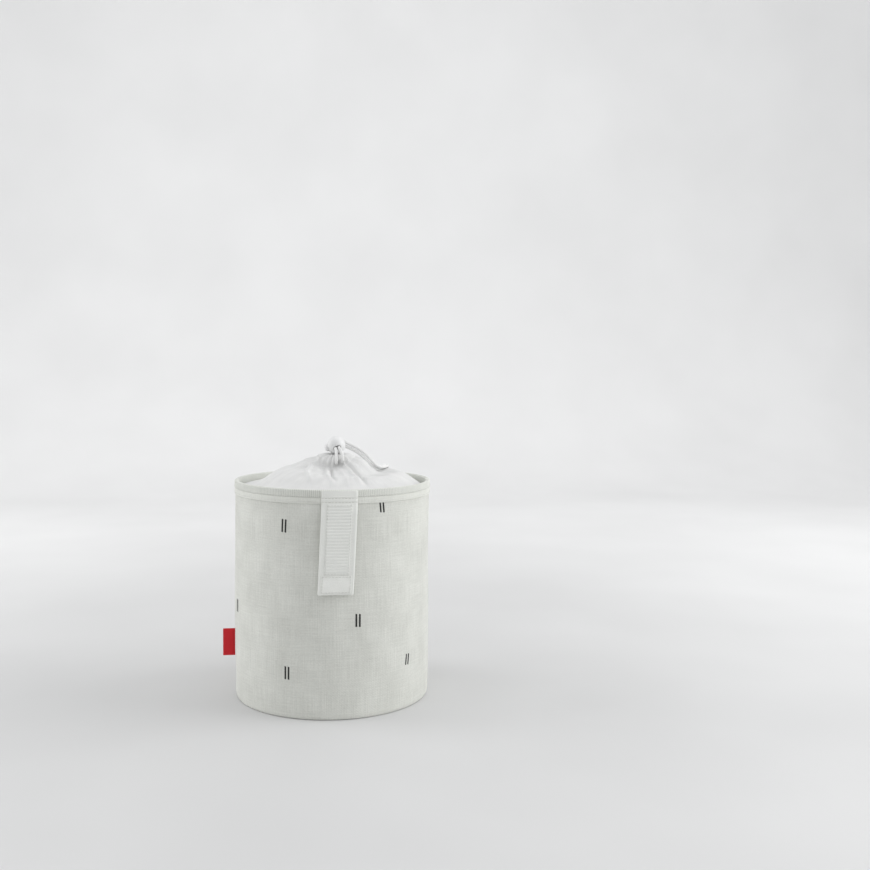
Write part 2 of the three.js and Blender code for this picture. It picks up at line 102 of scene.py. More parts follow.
# Collar and its hem
SKIRT_RADIUS = 85.6
SKIRT_BOTTOM = 188.1
SKIRT_TOP = 193.1
COLLAR_HALF = 0.4
COLLAR_LEAN = 4.1
LEAN_SHARE = 0.03
FRONT_SHARE = 0.55
DOME = [
    (0, 0), (0.09, 0.093), (0.2, 0.2), (0.3, 0.325), (0.42, 0.46), (0.54, 0.51), (0.68, 0.565), (0.82, 0.775),
    (0.92, 0.975), (1, 1),
]
MOUTH_X = 2.5
HEM_RADIUS = 12.0
HEM_HEIGHT = 220.6
HEM_WIDE = 6.8
HEM_THICK = 3.0
HEM_TILT = math.radians(8)
HEM_FRONT_TILT = math.radians(50)
HEM_FRONT = math.radians(-108)
HEM_PIVOT = 5.0
HEM_END = 7.55
HEM_DROP = 0.15
HEM_TAPER = 0.62
TURN_UP = 0.84
TUCK = 1.6
TUNNEL_OUT = 3.0
TUNNEL = 1.68

# Cord and lock
CORD = 3.0
CORD_SPACING = 3.4
LOCK = Vector((2.8, 0.0, 231.2))
LOCK_RADIUS = 8.5
TILT = math.radians(15)
BUTTON_WAY = Vector((math.cos(TILT), 0, math.sin(TILT)))
BORE_RISE = Vector((-math.sin(TILT), 0, math.cos(TILT)))
BORE_WAY = Vector((0, math.cos(TILT), 0)) + BORE_RISE * math.sin(TILT)
LOCK_UP = BUTTON_WAY.cross(BORE_WAY)
EYELETS = (-91.8, -73.6)
EYELET_BORE = 1.65
EYELET_REACH = 3.65
EYELET_LEAN = math.radians(72)

# The tails of the drawstring: the middle of the pair, its height above the rim, and the way to the left cord
TAIL_ROUTE = [
    (3.34, -7.73, 29.2, -0.966, 0, -0.259), (2.8, 0, 31.2, -0.966, 0, -0.259),
    (2.2, 8.6, 33.4, -0.966, 0, -0.259), (2.15, 11, 34.1, -0.97, 0.03, 0.05), (4.2, 13.3, 34.2, -0.62, 0.1, 0.77),
    (8.6, 13, 33, -0.12, 0, 0.99), (14, 12, 30.3, 0.33, 0, 0.94), (21, 10.4, 27, 0.5, 0, 0.86),
    (28.2, 9, 22.3, 0.62, 0, 0.78), (34, 8.8, 16.7, 0.7, -0.1, 0.7), (38.8, 10.6, 11.8, 0.7, -0.4, 0.6),
    (43.6, 15, 9, 0.75, -0.6, 0.3), (48.6, 21.4, 8.6, 0.85, -0.45, 0.05), (52.4, 27.5, 9.2, 0.95, -0.25, -0.05),
    (53.3, 39.5, 6.6, 1, -0.05, -0.05),
    (52.7, 51.5, 4.4, 1, 0.05, 0), (51.6, 62.5, 2.9, 1, 0.05, 0), (51, 70.5, 2.3, 1, 0, 0),
    (50.7, 75.2, 2.1, 0.96, -0.2, 0), (50.5, 77.2, 1, 0.9, -0.4, 0), (50.4, 78, -2, 0.85, -0.53, 0),
    (50.4, 78, -10, 0.84, -0.54, 0), (50.2, 78.1, -28, 0.84, -0.54, 0), (49.7, 78.4, -50, 0.84, -0.54, 0),
    (49.5, 78.5, -72, 0.83, -0.56, 0), (49.8, 78.3, -94, 0.83, -0.56, 0), (50.3, 78, -119, 0.84, -0.54, 0),
]
KNOT = Vector((51.5, 79.6, 75.8))

# Pairs of embroidered bars on the wall: degrees round, share of the height, lean in degrees, length
BARS = [
    (-121.3, 0.84, 2, 10.8), (-65.4, 0.917, -6, 8.2), (-79.4, 0.432, 0, 10.8), (-119.5, 0.199, 0, 10.8),
    (-46, 0.222, 6, 9.3), (-166.5, 0.436, 0, 10.8), (7, 0.62, -4, 10.8), (22, 0.26, 3, 10.8), (40, 0.8, 0, 10.8),
    (60, 0.46, -3, 10.8), (84, 0.18, 4, 10.8), (108, 0.7, 0, 10.8), (134, 0.36, -5, 10.8), (156, 0.86, 2, 10.8),
]
BAR_SPACING = 3.1
BAR_WIDTH = 1.5
BAR_STAGGER = 0.1


# Small sums

def ease(share):
    share = min(1.0, max(0.0, share))
    return share * share * (3 - 2 * share)


def between(low, high, steps):
    return [low + (high - low) * i / steps for i in range(steps + 1)]


def turns(steps):
    return [TAU * i / steps for i in range(steps)]


def run_length(points):
    lengths = [0.0]
    for before, after in zip(points, points[1:]):
        lengths.append(lengths[-1] + (Vector(after) - Vector(before)).length)
    return lengths


def smooth_route(points, step):
    """A smooth line through the points, with a new point every step."""
    points = [Vector(p) for p in points]
    points = [points[0] * 2 - points[1], *points, points[-1] * 2 - points[-2]]
    fine = []
    pyramid = (((0, 1), (1, 2), (2, 3)), ((0, 2), (1, 3)), ((1, 2),))
    for four in zip(points, points[1:], points[2:], points[3:]):
        knots = [0.0]
        for p, q in zip(four, four[1:]):
            knots.append(knots[-1] + max(1e-6, (q - p).length) ** 0.5)
        for i in range(24):
            t = knots[1] + (knots[2] - knots[1]) * i / 24
            row = four
            for spans in pyramid:
                row = [
                    row[k] * ((knots[end] - t) / (knots[end] - knots[start]))
                    + row[k + 1] * ((t - knots[start]) / (knots[end] - knots[start]))
                    for k, (start, end) in enumerate(spans)
                ]
            fine.append(row[0])
    fine.append(points[-2])
    lengths = run_length(fine)
    count = max(2, round(lengths[-1] / step))
    route, k = [], 0
    for i in range(count + 1):
        want = lengths[-1] * i / count
        while k < len(fine) - 2 and lengths[k + 1] < want:
            k += 1
        span = max(1e-9, lengths[k + 1] - lengths[k])
        route.append(fine[k].lerp(fine[k + 1], (want - lengths[k]) / span))
    return route


def interpolate(table, x):
    """Smooth value of a table of (x, y) rows, by a cubic through its neighbours."""
    last = len(table) - 1
    k = max(i for i in range(last) if table[i][0] <= x or i == 0)
    (x0, y0), (x1, y1) = table[k], table[k + 1]

    def slope(i):
        low, high = table[max(0, i - 1)], table[min(last, i + 1)]
        return (high[1] - low[1]) / (high[0] - low[0])

    t = (x - x0) / (x1 - x0)
    span = x1 - x0
    return (
        (2 * t ** 3 - 3 * t ** 2 + 1) * y0 + (t ** 3 - 2 * t ** 2 + t) * span * slope(k)
        + (3 * t ** 2 - 2 * t ** 3) * y1 + (t ** 3 - t ** 2) * span * slope(k + 1)
    )


# Mesh making

def new_object(name, mesh, look=None):
    piece = bpy.data.objects.new(name, mesh)
    scene.collection.objects.link(piece)
    if look is not None:
        mesh.materials.clear()
        mesh.materials.append(look)
    return piece


def shade(mesh, sharp):
    mesh.shade_smooth()
    mesh.set_sharp_from_angle(angle=math.radians(sharp))


def finish_mesh(mesh, sharp):
    work = bmesh.new()
    work.from_mesh(mesh)
    bmesh.ops.remove_doubles(work, verts=work.verts, dist=1e-7)
    bmesh.ops.recalc_face_normals(work, faces=work.faces)
    work.to_mesh(mesh)
    work.free()
    shade(mesh, sharp)
    mesh.update()


def skin(name, sections, look, closed=False, along=None, sharp=50, plan=False):
    """A piece over equal sections; closed joins the last to the first, otherwise the ends are capped.
    Its cloth map gives metres along the sections and round each of them, or x and y if plan."""
    count, size = len(sections), len(sections[0])
    if along is None:
        centres = [sum((Vector(p) for p in section), Vector()) / size for section in sections]
        along = run_length(centres + centres[:1] if closed else centres)
    across = run_length([*sections[0], sections[0][0]])
    points = [[c * MM for c in p] for section in sections for p in section]
    faces, cloth = [], []
    for i in range(count if closed else count - 1):
        for j in range(size):
            low, high = i * size, ((i + 1) % count) * size
            faces.append((low + j, low + (j + 1) % size, high + (j + 1) % size, high + j))
            cloth += [
                (along[i], across[j]), (along[i], across[j + 1]),
                (along[i + 1], across[j + 1]), (along[i + 1], across[j]),
            ]
    if not closed:
        for i, order in ((0, range(size - 1, -1, -1)), (count - 1, range(size))):
            faces.append(tuple(i * size + j for j in order))
            cloth += [(along[i], across[j]) for j in order]
    mesh = bpy.data.meshes.new(name)
    mesh.from_pydata(points, [], faces)
    layer = mesh.uv_layers.new(name="cloth")
    if plan:
        corners = [points[k] for face in faces for k in face]
        layer.data.foreach_set("uv", [c for p in corners for c in p[:2]])
    else:
        layer.data.foreach_set("uv", [c * MM for pair in cloth for c in pair])
    finish_mesh(mesh, sharp)
    return new_object(name, mesh, look)


def turned(name, profile, look, steps, shift=None, sharp=50, plan=False):
    """A piece turned about the Z axis from a closed profile of (radius, height) rows. shift, given the
    angle, the radius and the height, returns the radius and height that the cloth really has there."""
    sections = []
    for angle in turns(steps):
        places = [shift(angle, *row) if shift else row for row in profile]
        sections.append([(r * math.cos(angle), r * math.sin(angle), z) for r, z in places])
    along = between(0, TAU * max(radius for radius, height in profile), steps)
    return skin(name, sections, look, closed=True, along=along, sharp=sharp, plan=plan)


def no_relief(run, turn):
    return 0.0


def tube(name, route, radius, look, sides=16, relief=no_relief):
    """A tube along the route; relief, given the length run and the turn, changes its radius."""
    route = [Vector(p) for p in route]
    runs = run_length(route)
    ways = [(route[min(i + 1, len(route) - 1)] - route[max(i - 1, 0)]).normalized() for i in range(len(route))]
    side = ways[0].orthogonal().normalized()
    sections = []
    for i, (point, way) in enumerate(zip(route, ways)):
        if i:
            side = ways[i - 1].rotation_difference(way) @ side
        side = (side - way * side.dot(way)).normalized()
        other = way.cross(side)
        sections.append([
            point + (side * math.cos(turn) + other * math.sin(turn)) * (radius + relief(runs[i], turn))
            for turn in turns(sides)
        ])
    return skin(name, sections, look, along=runs)


def join_meshes(name, parts, look):
    """One piece from several, which are taken away."""
    work = bmesh.new()
    for part in parts:
        work.from_mesh(part.data)
    mesh = bpy.data.meshes.new(name)
    work.to_mesh(mesh)
    work.free()
    for part in parts:
        bpy.data.objects.remove(part)
    shade(mesh, 50)
    return new_object(name, mesh, look)


def plain_mesh(piece, name, look=None):
    """The piece with its modifiers worked out, as a plain mesh; the working piece is taken away."""
    bpy.context.view_layer.update()
    mesh = bpy.data.meshes.new_from_object(piece.evaluated_get(bpy.context.evaluated_depsgraph_get()))
    bpy.data.objects.remove(piece)
    return new_object(name, mesh, look)


def cut_away(piece, cutters, name, look, sharp=35):
    for cutter in cutters:
        step = piece.modifiers.new("cut", "BOOLEAN")
        step.operation = "DIFFERENCE"
        step.solver = "EXACT"
        step.object = cutter
    result = plain_mesh(piece, name, look)
    for cutter in cutters:
        bpy.data.objects.remove(cutter)
    shade(result.data, sharp)
    return result


def settle(piece, slot, body, *nodes):
    """Hides the nodes the piece replaces and parents it to the body it rides on; given a joint instead of a body, it
    only bakes the piece's place into its mesh. The slot is not used.
    """
    if nodes:
        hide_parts(*nodes)
    if isinstance(body, str):
        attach(piece, body)
    else:
        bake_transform(piece)


# Materials

def srgb(code):
    parts = [int(code[i:i + 2], 16) / 255 for i in (1, 3, 5)]
    return [p / 12.92 if p <= 0.04045 else ((p + 0.055) / 1.055) ** 2.4 for p in parts] + [1.0]


def add_node(tree, kind, inputs=None, **settings):
    node = tree.nodes.new(kind)
    for key, value in settings.items():
        setattr(node, key, value)
    for key, value in (inputs or {}).items():
        if isinstance(value, bpy.types.NodeSocket):
            tree.links.new(value, node.inputs[key])
        else:
            node.inputs[key].default_value = value
    return node


def made(tree, kind, inputs=None, **settings):
    return add_node(tree, kind, inputs, **settings).outputs[0]


def reckon(tree, operation, *values):
    return made(tree, "ShaderNodeMath", dict(enumerate(values)), operation=operation)


def cloth_point(tree):
    return made(tree, "ShaderNodeUVMap", uv_map="cloth")


def object_point(tree):
    return add_node(tree, "ShaderNodeTexCoord").outputs["Object"]


def ridges(tree, point, way, pitch):
    """Waves from -1 to 1 across the way given, one every pitch millimetres."""
    size = math.sqrt(sum(c * c for c in way))
    reach = [c / size * TAU / (pitch * MM) for c in way]
    turn = add_node(tree, "ShaderNodeVectorMath", {0: point, 1: reach}, operation="DOT_PRODUCT")
    return reckon(tree, "SINE", turn.outputs["Value"])


def mottle(tree, point, sizes, detail=2.0):
    """Soft noise from 0 to 1 whose blots have the given sizes in millimetres."""
    reach = [1 / (size * MM) for size in sizes]
    stretched = made(tree, "ShaderNodeVectorMath", {0: point, 1: reach}, operation="MULTIPLY")
    return made(tree, "ShaderNodeTexNoise", {"Vector": stretched, "Scale": 1.0, "Detail": detail})


def sum_of(tree, terms, start=0.0):
    """start plus each value times its weight."""
    total = start
    for value, weight in terms:
        total = reckon(tree, "MULTIPLY_ADD", value, weight, total)
    return total


def surface(name, recipe, dark, light, sizes=(), roughness=0.9, sheen=0.0, metallic=0.0, specular=0.35, depth=0.2):
    """A material. Its recipe gives tone, the two places of the tone's ramp, height from 0 to 1, and wear."""
    look = bpy.data.materials.new(name)
    look.use_nodes = True
    tree = look.node_tree
    tree.nodes.clear()
    tone, places, height, wear = recipe(tree, *sizes)
    ramp = add_node(tree, "ShaderNodeValToRGB", {0: tone})
    for stop, place, code in zip(ramp.color_ramp.elements, places, (dark, light)):
        stop.position = place
        stop.color = srgb(code)
    rough = sum_of(tree, [(wear, 0.12)], roughness - 0.06)
    bump = made(tree, "ShaderNodeBump", {"Height": height, "Strength": 0.7, "Distance": depth * MM})
    shader = made(tree, "ShaderNodeBsdfPrincipled", {
        "Base Color": ramp.outputs["Color"], "Roughness": rough, "Metallic": metallic,
        "Specular IOR Level": specular, "Sheen Weight": sheen, "Sheen Roughness": 0.5, "Normal": bump,
    })
    add_node(tree, "ShaderNodeOutputMaterial", {"Surface": shader})
    return look


def twill(tree):
    """Slubby twill: fine diagonal ribs, thick and thin yarns both ways, and soft uneven tone."""
    point = cloth_point(tree)
    ribs = ridges(tree, point, (1, 0.8, 0), 0.95)
    yarns = ridges(tree, point, (0, 1, 0), 0.55)
    upright = mottle(tree, point, (0.9, 30, 1), 3)
    level = mottle(tree, point, (26, 0.9, 1), 3)
    clouds = mottle(tree, point, (24, 30, 1), 3)
    grain = mottle(tree, point, (1.6, 1.6, 1), 2)
    tone = sum_of(tree, [(ribs, 0.05), (upright, 0.42), (level, 0.36), (clouds, 0.45), (grain, 0.34)], -0.28)
    height = sum_of(tree, [(ribs, 0.22), (yarns, 0.08), (upright, 0.55), (level, 0.35)], 0.1)
    return tone, (0.15, 0.85), height, grain


def plain_weave(tree, pitch):
    """Thin even cloth: warp and weft crossing, with soft tone."""
    point = cloth_point(tree)
    cross = reckon(tree, "MULTIPLY", ridges(tree, point, (1, 0, 0), pitch), ridges(tree, point, (0, 1, 0), pitch))
    slubs = mottle(tree, point, (0.8, 18, 1), 3)
    clouds = mottle(tree, point, (14, 14, 1), 2)
    tone = sum_of(tree, [(cross, 0.06), (slubs, 0.4), (clouds, 0.6)])
    return tone, (0.25, 0.75), sum_of(tree, [(cross, 0.3), (slubs, 0.5)], 0.3), slubs


def ribbed(tree, way, pitch, cross_pitch):
    """Tape or webbing: firm ribs across the way given, crossed by finer yarns."""
    point = cloth_point(tree)
    ribs = ridges(tree, point, way, pitch)
    yarns = ridges(tree, point, (way[1], way[0], 0), cross_pitch)
    grain = mottle(tree, point, (1.2, 1.2, 1), 3)
    clouds = mottle(tree, point, (12, 12, 1), 2)
    tone = sum_of(tree, [(ribs, 0.2), (yarns, 0.1), (grain, 0.4), (clouds, 0.3)], 0.15)
    height = sum_of(tree, [(ribs, 0.3), (reckon(tree, "MULTIPLY", ribs, yarns), 0.15), (grain, 0.2)], 0.4)
    return tone, (0.1, 0.9), height, grain


def yarn(tree, pitch):
    """Twisted or braided yarn: fine slanting strands along the piece's own length."""
    point = cloth_point(tree)
    one, other = (ridges(tree, point, (1, slant, 0), pitch) for slant in (1.2, -1.2))
    fuzz = mottle(tree, object_point(tree), (0.7, 0.7, 0.7), 3)
    tone = sum_of(tree, [(reckon(tree, "MULTIPLY", one, other), 0.25), (fuzz, 0.6)], 0.2)
    return tone, (0.1, 0.9), sum_of(tree, [(one, 0.2), (other, 0.2), (fuzz, 0.3)], 0.4), fuzz


def speckle(tree, fine, fine_detail, coarse, coarse_detail, fine_share):
    """Pile, thread, moulded plastic: a fine grain that shapes the skin, over coarser marks."""
    point = object_point(tree)
    grain = mottle(tree, point, (fine, fine, fine), fine_detail)
    marks = mottle(tree, point, (coarse, coarse, coarse), coarse_detail)
    return sum_of(tree, [(grain, fine_share), (marks, 1 - fine_share)]), (0.3, 0.7), grain, marks


def streaked(tree, *sizes):
    """Drawn wire, or the soft clouds of a plain floor."""
    streaks = mottle(tree, object_point(tree), sizes[:3], sizes[3])
    return streaks, (0.3, 0.7), streaks, streaks


ACROSS, ALONG = (1, 0, 0), (0, 1, 0)
THREAD = (0.35, 2, 3, 2, 0.6)
CANVAS = surface("canvas_twill", twill, "#C1C2BB", "#EBECE6", (), 0.92, 0.12, depth=0.28)
HEM_CANVAS = surface("canvas_hem", twill, "#CDCEC7", "#EDEEE8", (), 0.92, 0.12, depth=0.25)
COATED = surface("coated_lining", plain_weave, "#D9DAD6", "#E6E7E4", (0.6,), 0.55, specular=0.5, depth=0.08)
GROSGRAIN = surface("rim_grosgrain", ribbed, "#C0C2BB", "#E9EAE4", (ACROSS, RIB_PITCH, 0.7), 0.9, 0.1)
SEAM_TAPE = surface("seam_tape", ribbed, "#B9BBB4", "#D6D7D1", (ACROSS, 1.2, 0.7), 0.9, 0.1)
RED_TAPE = surface("red_tape", ribbed, "#BF1A24", "#DA2630", (ALONG, 0.8, 0.5), 0.75, 0.1, depth=0.12)
WEBBING = surface("strap_webbing", ribbed, "#E5E6E1", "#F6F7F3", (ACROSS, 0.9, 0.8), 0.85, 0.12)
HOOK_BASE = surface("hook_tape_ground", ribbed, "#E5E6E2", "#F6F7F3", (ACROSS, STRAP_RIB, 0.9), 0.8, 0.05, depth=0.15)
HOOK_YARN = surface("hook_monofilament", speckle, "#D8D9D5", "#EEEFEC", THREAD, 0.45, specular=0.5, depth=0.03)
LOOP_PILE = surface("loop_pile", speckle, "#E6E7E2", "#F8F9F5", (0.5, 4, 6, 2, 0.7), 0.95, 0.3, depth=0.3)
COLLAR_CLOTH = surface("collar_cotton", plain_weave, "#D6D6D5", "#E7E7E6", (0.55,), 0.9, 0.12, depth=0.12)
CORD_YARN = surface("drawstring_braid", yarn, "#DFDFDE", "#F0F0EF", (0.8,), 0.85, 0.1, depth=0.1)
SEWING = surface("sewing_thread", speckle, "#C9CAC4", "#E6E7E2", THREAD, 0.7, 0.1, depth=0.05)
RED_THREAD = surface("red_thread", speckle, "#8E0D16", "#B3141F", THREAD, 0.7, 0.1, depth=0.05)
BLACK_THREAD = surface("black_thread", speckle, "#101010", "#2A2A2B", THREAD, 0.6, 0.15, depth=0.05)
EYELET_THREAD = surface("eyelet_thread", speckle, "#C4C4C3", "#DEDEDD", THREAD, 0.7, 0.1, depth=0.05)
PLASTIC = surface("lock_plastic", speckle, "#E1E1E1", "#E9E9E9", (0.3, 3, 5, 4, 0.2), 0.48, specular=0.5, depth=0.02)
BOARD = surface("base_board_plastic", speckle, "#D2D2CD", "#E0E0DC", (0.8, 3, 5, 4, 0.2), 0.6, depth=0.05)
WIRE = surface(
    "spring_wire", streaked, "#A9ACAE", "#D5D8DA", (0.4, 3, 3, 3), 0.28, metallic=1.0, specular=0.5, depth=0.02
)


# Camera, as the photograph was taken

LENS = 43.45
CAMERA_PLACE = Vector((-60.76, -979.21, 306.71))
CAMERA_WAY = Vector((0.1578, 0.9852, -0.0665)).normalized()
CAMERA_ROLL = math.radians(0.53)


def make_camera():
    data = bpy.data.cameras.new("camera")
    data.sensor_width, data.lens = 36, LENS
    data.clip_start, data.clip_end = 0.01, 20
    camera = new_object("camera", data)
    turn = CAMERA_WAY.to_track_quat("-Z", "Y").to_matrix().to_4x4() @ Matrix.Rotation(CAMERA_ROLL, 4, "Z")
    camera.matrix_world = Matrix.Translation(CAMERA_PLACE * MM) @ turn
    scene.camera = camera


make_camera()


# Drawstring: tails, runs up to the lock, the stretch inside the hem, and the knot

def braid_relief(run, turn):
    strands = max(math.cos(4 * turn + run * 1.05), math.cos(4 * turn - run * 1.05))
    return 0.11 * strands - 0.12


def tail_points(side):
    middle = [Vector((x, y, BODY_HEIGHT + z)) for x, y, z, *left in TAIL_ROUTE]
    last = len(middle) - 1
    points = []
    for k, point in enumerate(middle):
        way = (middle[min(last, k + 1)] - middle[max(0, k - 1)]).normalized()
        left = Vector(TAIL_ROUTE[k][3:])
        left = (left - way * left.dot(way)).normalized()
        points.append(point + left * side * CORD_SPACING / 2)
    return points


def way_round(angle):
    return Vector((math.cos(angle), math.sin(angle), 0))


def front_share(angle):
    return max(0.0, math.cos(angle - HEM_FRONT)) ** 2


def hem_place(out, above, front):
    """Radius and height of a point of the hem, out along its cloth from the middle and above the cloth."""
    tilt = HEM_TILT + HEM_FRONT_TILT * front
    along = HEM_PIVOT + out
    radius = HEM_RADIUS - HEM_PIVOT * math.cos(HEM_TILT) + along * math.cos(tilt) + above * math.sin(tilt)
    height = HEM_HEIGHT + HEM_PIVOT * math.sin(HEM_TILT) - along * math.sin(tilt) + above * math.cos(tilt)
    return radius, height


def hem_point(out, above, angle):
    radius, height = hem_place(out, above, front_share(angle))
    return way_round(angle) * radius + Vector((MOUTH_X, 0, height))


def eyelet_axis(angle):
    lift = EYELET_LEAN - HEM_TILT - HEM_FRONT_TILT * front_share(angle)
    return way_round(angle) * math.cos(lift) + Vector((0, 0, math.sin(lift)))


def make_tails():
    tails = []
    for side, name in ((1, "left"), (-1, "right")):
        route = smooth_route(tail_points(side), 0.55)
        tail = tube(f"cord_tail_{name}", route, CORD / 2, CORD_YARN, 20, braid_relief)
        settle(tail, "cord_yarn", "cord_lock", f"drawstring_tail_{name}")
        tails.append((tail, route))
    return tails


def make_knot():
    """An overhand knot tied in both tails: a turn and three quarters round them, and the two cut ends below."""
    wraps = []
    for i in range(49):
        turn = TAU * 1.75 * i / 48
        bulge = 2.55 - 0.25 * math.cos(turn * 0.57)
        x, y = bulge * math.cos(turn + 0.6), bulge * 0.86 * math.sin(turn + 0.6)
        wraps.append(KNOT + Vector((x, y, 2.9 - 5.6 * i / 48)))
    parts = [tube("knot_wraps", smooth_route(wraps, 0.5), CORD / 2, CORD_YARN, 16, braid_relief)]
    for side, lean, drop in ((-1, -1.3, 7.2), (1, 1.5, 6.4)):
        tail_end = tail_points(side)[-1]
        route = [
            tail_end + UP, tail_end - UP * 0.4,
            tail_end.lerp(KNOT + Vector((lean * 0.5, 0, 2.2)), 0.7), KNOT + Vector((lean * 0.35, 0, 0)),
            KNOT + Vector((lean * 0.8, 0.1, -4.2)), KNOT + Vector((lean * 1.3, 0.2, -drop - 1.5)),
        ]
        parts.append(tube("knot_end", smooth_route(route, 0.5), CORD / 2 - 0.05, CORD_YARN, 16, braid_relief))
    knot = join_meshes("cord_knot", parts, CORD_YARN)
    settle(knot, "cord_yarn", "cord_lock", "drawstring_knot")
    return knot


def make_runs():
    """The two short stretches from the eyelets in the hem up to the mouth of the lock's bore."""
    mouth_of_bore = Vector((*TAIL_ROUTE[0][:2], BODY_HEIGHT + TAIL_ROUTE[0][2])) - BORE_WAY * 0.3
    for degrees, side, name in ((EYELETS[0], -1, "left"), (EYELETS[1], 1, "right")):
        angle = math.radians(degrees)
        out, axis = way_round(angle), eyelet_axis(angle)
        start = hem_point(TUNNEL_OUT, 0, angle)
        eyelet = start + axis * EYELET_REACH
        end = mouth_of_bore + BUTTON_WAY * side * CORD_SPACING / 2
        route = [
            start + axis * 0.75, start + axis * EYELET_REACH / 2, eyelet, eyelet + out * 1.7 + UP * 2.2,
            eyelet + out + UP * 5.2, eyelet - out * 1.7 + UP * 9, end - BORE_WAY * CORD, end,
        ]
        run = tube(f"cord_run_{name}", smooth_route(route, 0.5), CORD / 2 - 0.05, CORD_YARN, 20, braid_relief)
        joint = ("basket", "cord_lock", tuple(eyelet * MM), tuple((end - BORE_WAY * CORD) * MM))
        settle(run, "cord_yarn", joint, f"drawstring_run_{name}")


def make_hem_cord():
    gap = (CORD + 0.3) / (HEM_RADIUS + TUNNEL_OUT)
    start = math.radians(EYELETS[1]) + gap
    sweep = TAU - math.radians(EYELETS[1] - EYELETS[0]) - 2 * gap
    route = [hem_point(TUNNEL_OUT, 0, start + sweep * share) for share in between(0, 1, 120)]
    cord = tube("cord_in_hem", route, CORD / 2, CORD_YARN, 16, braid_relief)
    settle(cord, "cord_yarn", "basket", "drawstring_in_channel")


tails = make_tails()
knot = make_knot()
make_runs()
make_hem_cord()


# Wall, lining and base

DENTS = [
    # degrees round, height, how deep, how wide round, how tall
    (-104, 168, -0.7, 16, 22), (-112, 140, 0.35, 12, 26), (-74, 158, -0.5, 13, 24), (-126, 172, 0.4, 12, 12),
    (-60, 96, 0.4, 22, 16), (-88, 60, -0.35, 26, 20), (-48, 46, 0.3, 20, 18), (-132, 90, -0.3, 14, 40),
    (-172, 70, 0.9, 40, 60), (-20, 130, -0.5, 20, 26), (40, 60, 0.4, 22, 24), (95, 150, -0.5, 24, 20),
    (150, 100, 0.4, 18, 34),
]


def ripple(angle, height):
    """How far the hanging cloth stands out from a plain cylinder."""
    hold = ease(height / 16) * ease((BAND_BOTTOM - height) / 24)
    slow = (
        0.26 * math.sin(3 * angle + 0.6 + height / 70) + 0.2 * math.sin(5 * angle + 2.1 - height / 45)
        + 0.16 * math.sin(9 * angle + 1.2 + height / 31)
    )
    fine = 0.07 * math.sin(17 * angle + height / 19) + 0.05 * math.sin(26 * angle - height / 13)
    dents = 0.0
    for degrees, level, depth, wide, tall in DENTS:
        away = (math.degrees(angle) - degrees + 180) % 360 - 180
        across = away * math.pi / 180 * BODY_RADIUS / wide
        up = (height - level) / tall
        if abs(across) < 3 and abs(up) < 3:
            dents += depth * math.exp(-across * across - up * up)
    return hold * (slow + fine + dents)


def with_ripple(angle, radius, height):
    seam = 0.0
    away = abs((math.degrees(angle) % 360) - 180) * math.pi / 180 * BODY_RADIUS
    if radius > BODY_RADIUS - 0.5 and away < 3:
        seam = -0.35 * math.exp(-(away / 0.5) ** 2) + 0.18 * math.exp(-((away - 1.6) / 0.9) ** 2)
    return radius + ripple(angle, height) + seam, height


def make_wall():
    outer = [(88.45, 0.0), (88.75, 0.15), (89.0, 0.5), (89.25, 1.2), (89.45, 2.2), (89.56, 3.2), (BODY_RADIUS, 4.4)]
    outer += [(BODY_RADIUS, z) for z in between(6, 186, 60)] + [(BODY_RADIUS, CANVAS_TOP)]
    inner = [(CANVAS_INNER, z) for z in reversed(between(0.4, CANVAS_TOP, 24))]
    wall = turned("wall_cloth", outer + inner, CANVAS, WALL_STEPS, with_ripple)
    settle(wall, "canvas", "basket", "wall_canvas")
    outer = [(LINING_OUTER, z) for z in between(1.5, 198, 36)]
    inner = [(LINING_INNER, z) for z in reversed(between(1.5, 198, 36))]
    lining = turned("lining_cloth", outer + inner, COATED, 160, with_ripple)
    settle(lining, "coated_lining", "basket", "wall_lining")
    return wall, lining


def round_cloth(name, radius, bottom, top, look, swell):
    """A round cloth panel with a rounded edge and a slight unevenness."""
    def uneven(angle, r, z):
        share = r / radius
        return r, z + swell * math.sin(math.pi * share) * math.sin(3 * angle + 5 * share)

    edge = (top - bottom) / 2
    low = [(radius * i / 16, bottom) for i in range(16)] + [(radius - 0.3, bottom), (radius, bottom + edge * 0.6)]
    high = [(radius, top - edge * 0.6), (radius - 0.3, top)] + [(radius * i / 16, top) for i in range(15, -1, -1)]
    return turned(name, low + high, look, 120, uneven, plan=True)


def make_base():
    cloth = round_cloth("base_cloth", 88.1, 0.0, 1.2, CANVAS, 0.0)
    settle(cloth, "canvas", "basket", "base_canvas")
    lining = round_cloth("base_lining_cloth", 87.2, 3.8, 4.4, COATED, 0.03)
    settle(lining, "coated_lining", "basket", "base_lining")
    profile = [
        (86.6, 4.7), (87.15, 4.7), (87.2, 5.2), (87.2, 12.2), (87.15, 12.7), (86.65, 12.7), (86.6, 12.2), (86.6, 5.2),
    ]
    tape = turned("base_seam_cloth", profile, SEAM_TAPE, 240)
    settle(tape, "ribbed_tape", "basket", "base_seam_tape")
    sections = []
    for z in between(13.0, 187.5, 60):
        spread = between(-SEAM_TURN, SEAM_TURN, 10)
        section = [(math.pi + turn, 86.98) for turn in spread] + [(math.pi - turn, 86.4) for turn in spread]
        sections.append([tuple(way_round(a) * (r + ripple(a, z)) + UP * z) for a, r in section])
    side = skin("side_seam_cloth", sections, SEAM_TAPE)
    settle(side, "ribbed_tape", "basket", "side_seam_tape")


wall, lining = make_wall()
make_base()


# Rim: ribbed tape folded over the edge, and the canvas hem below it

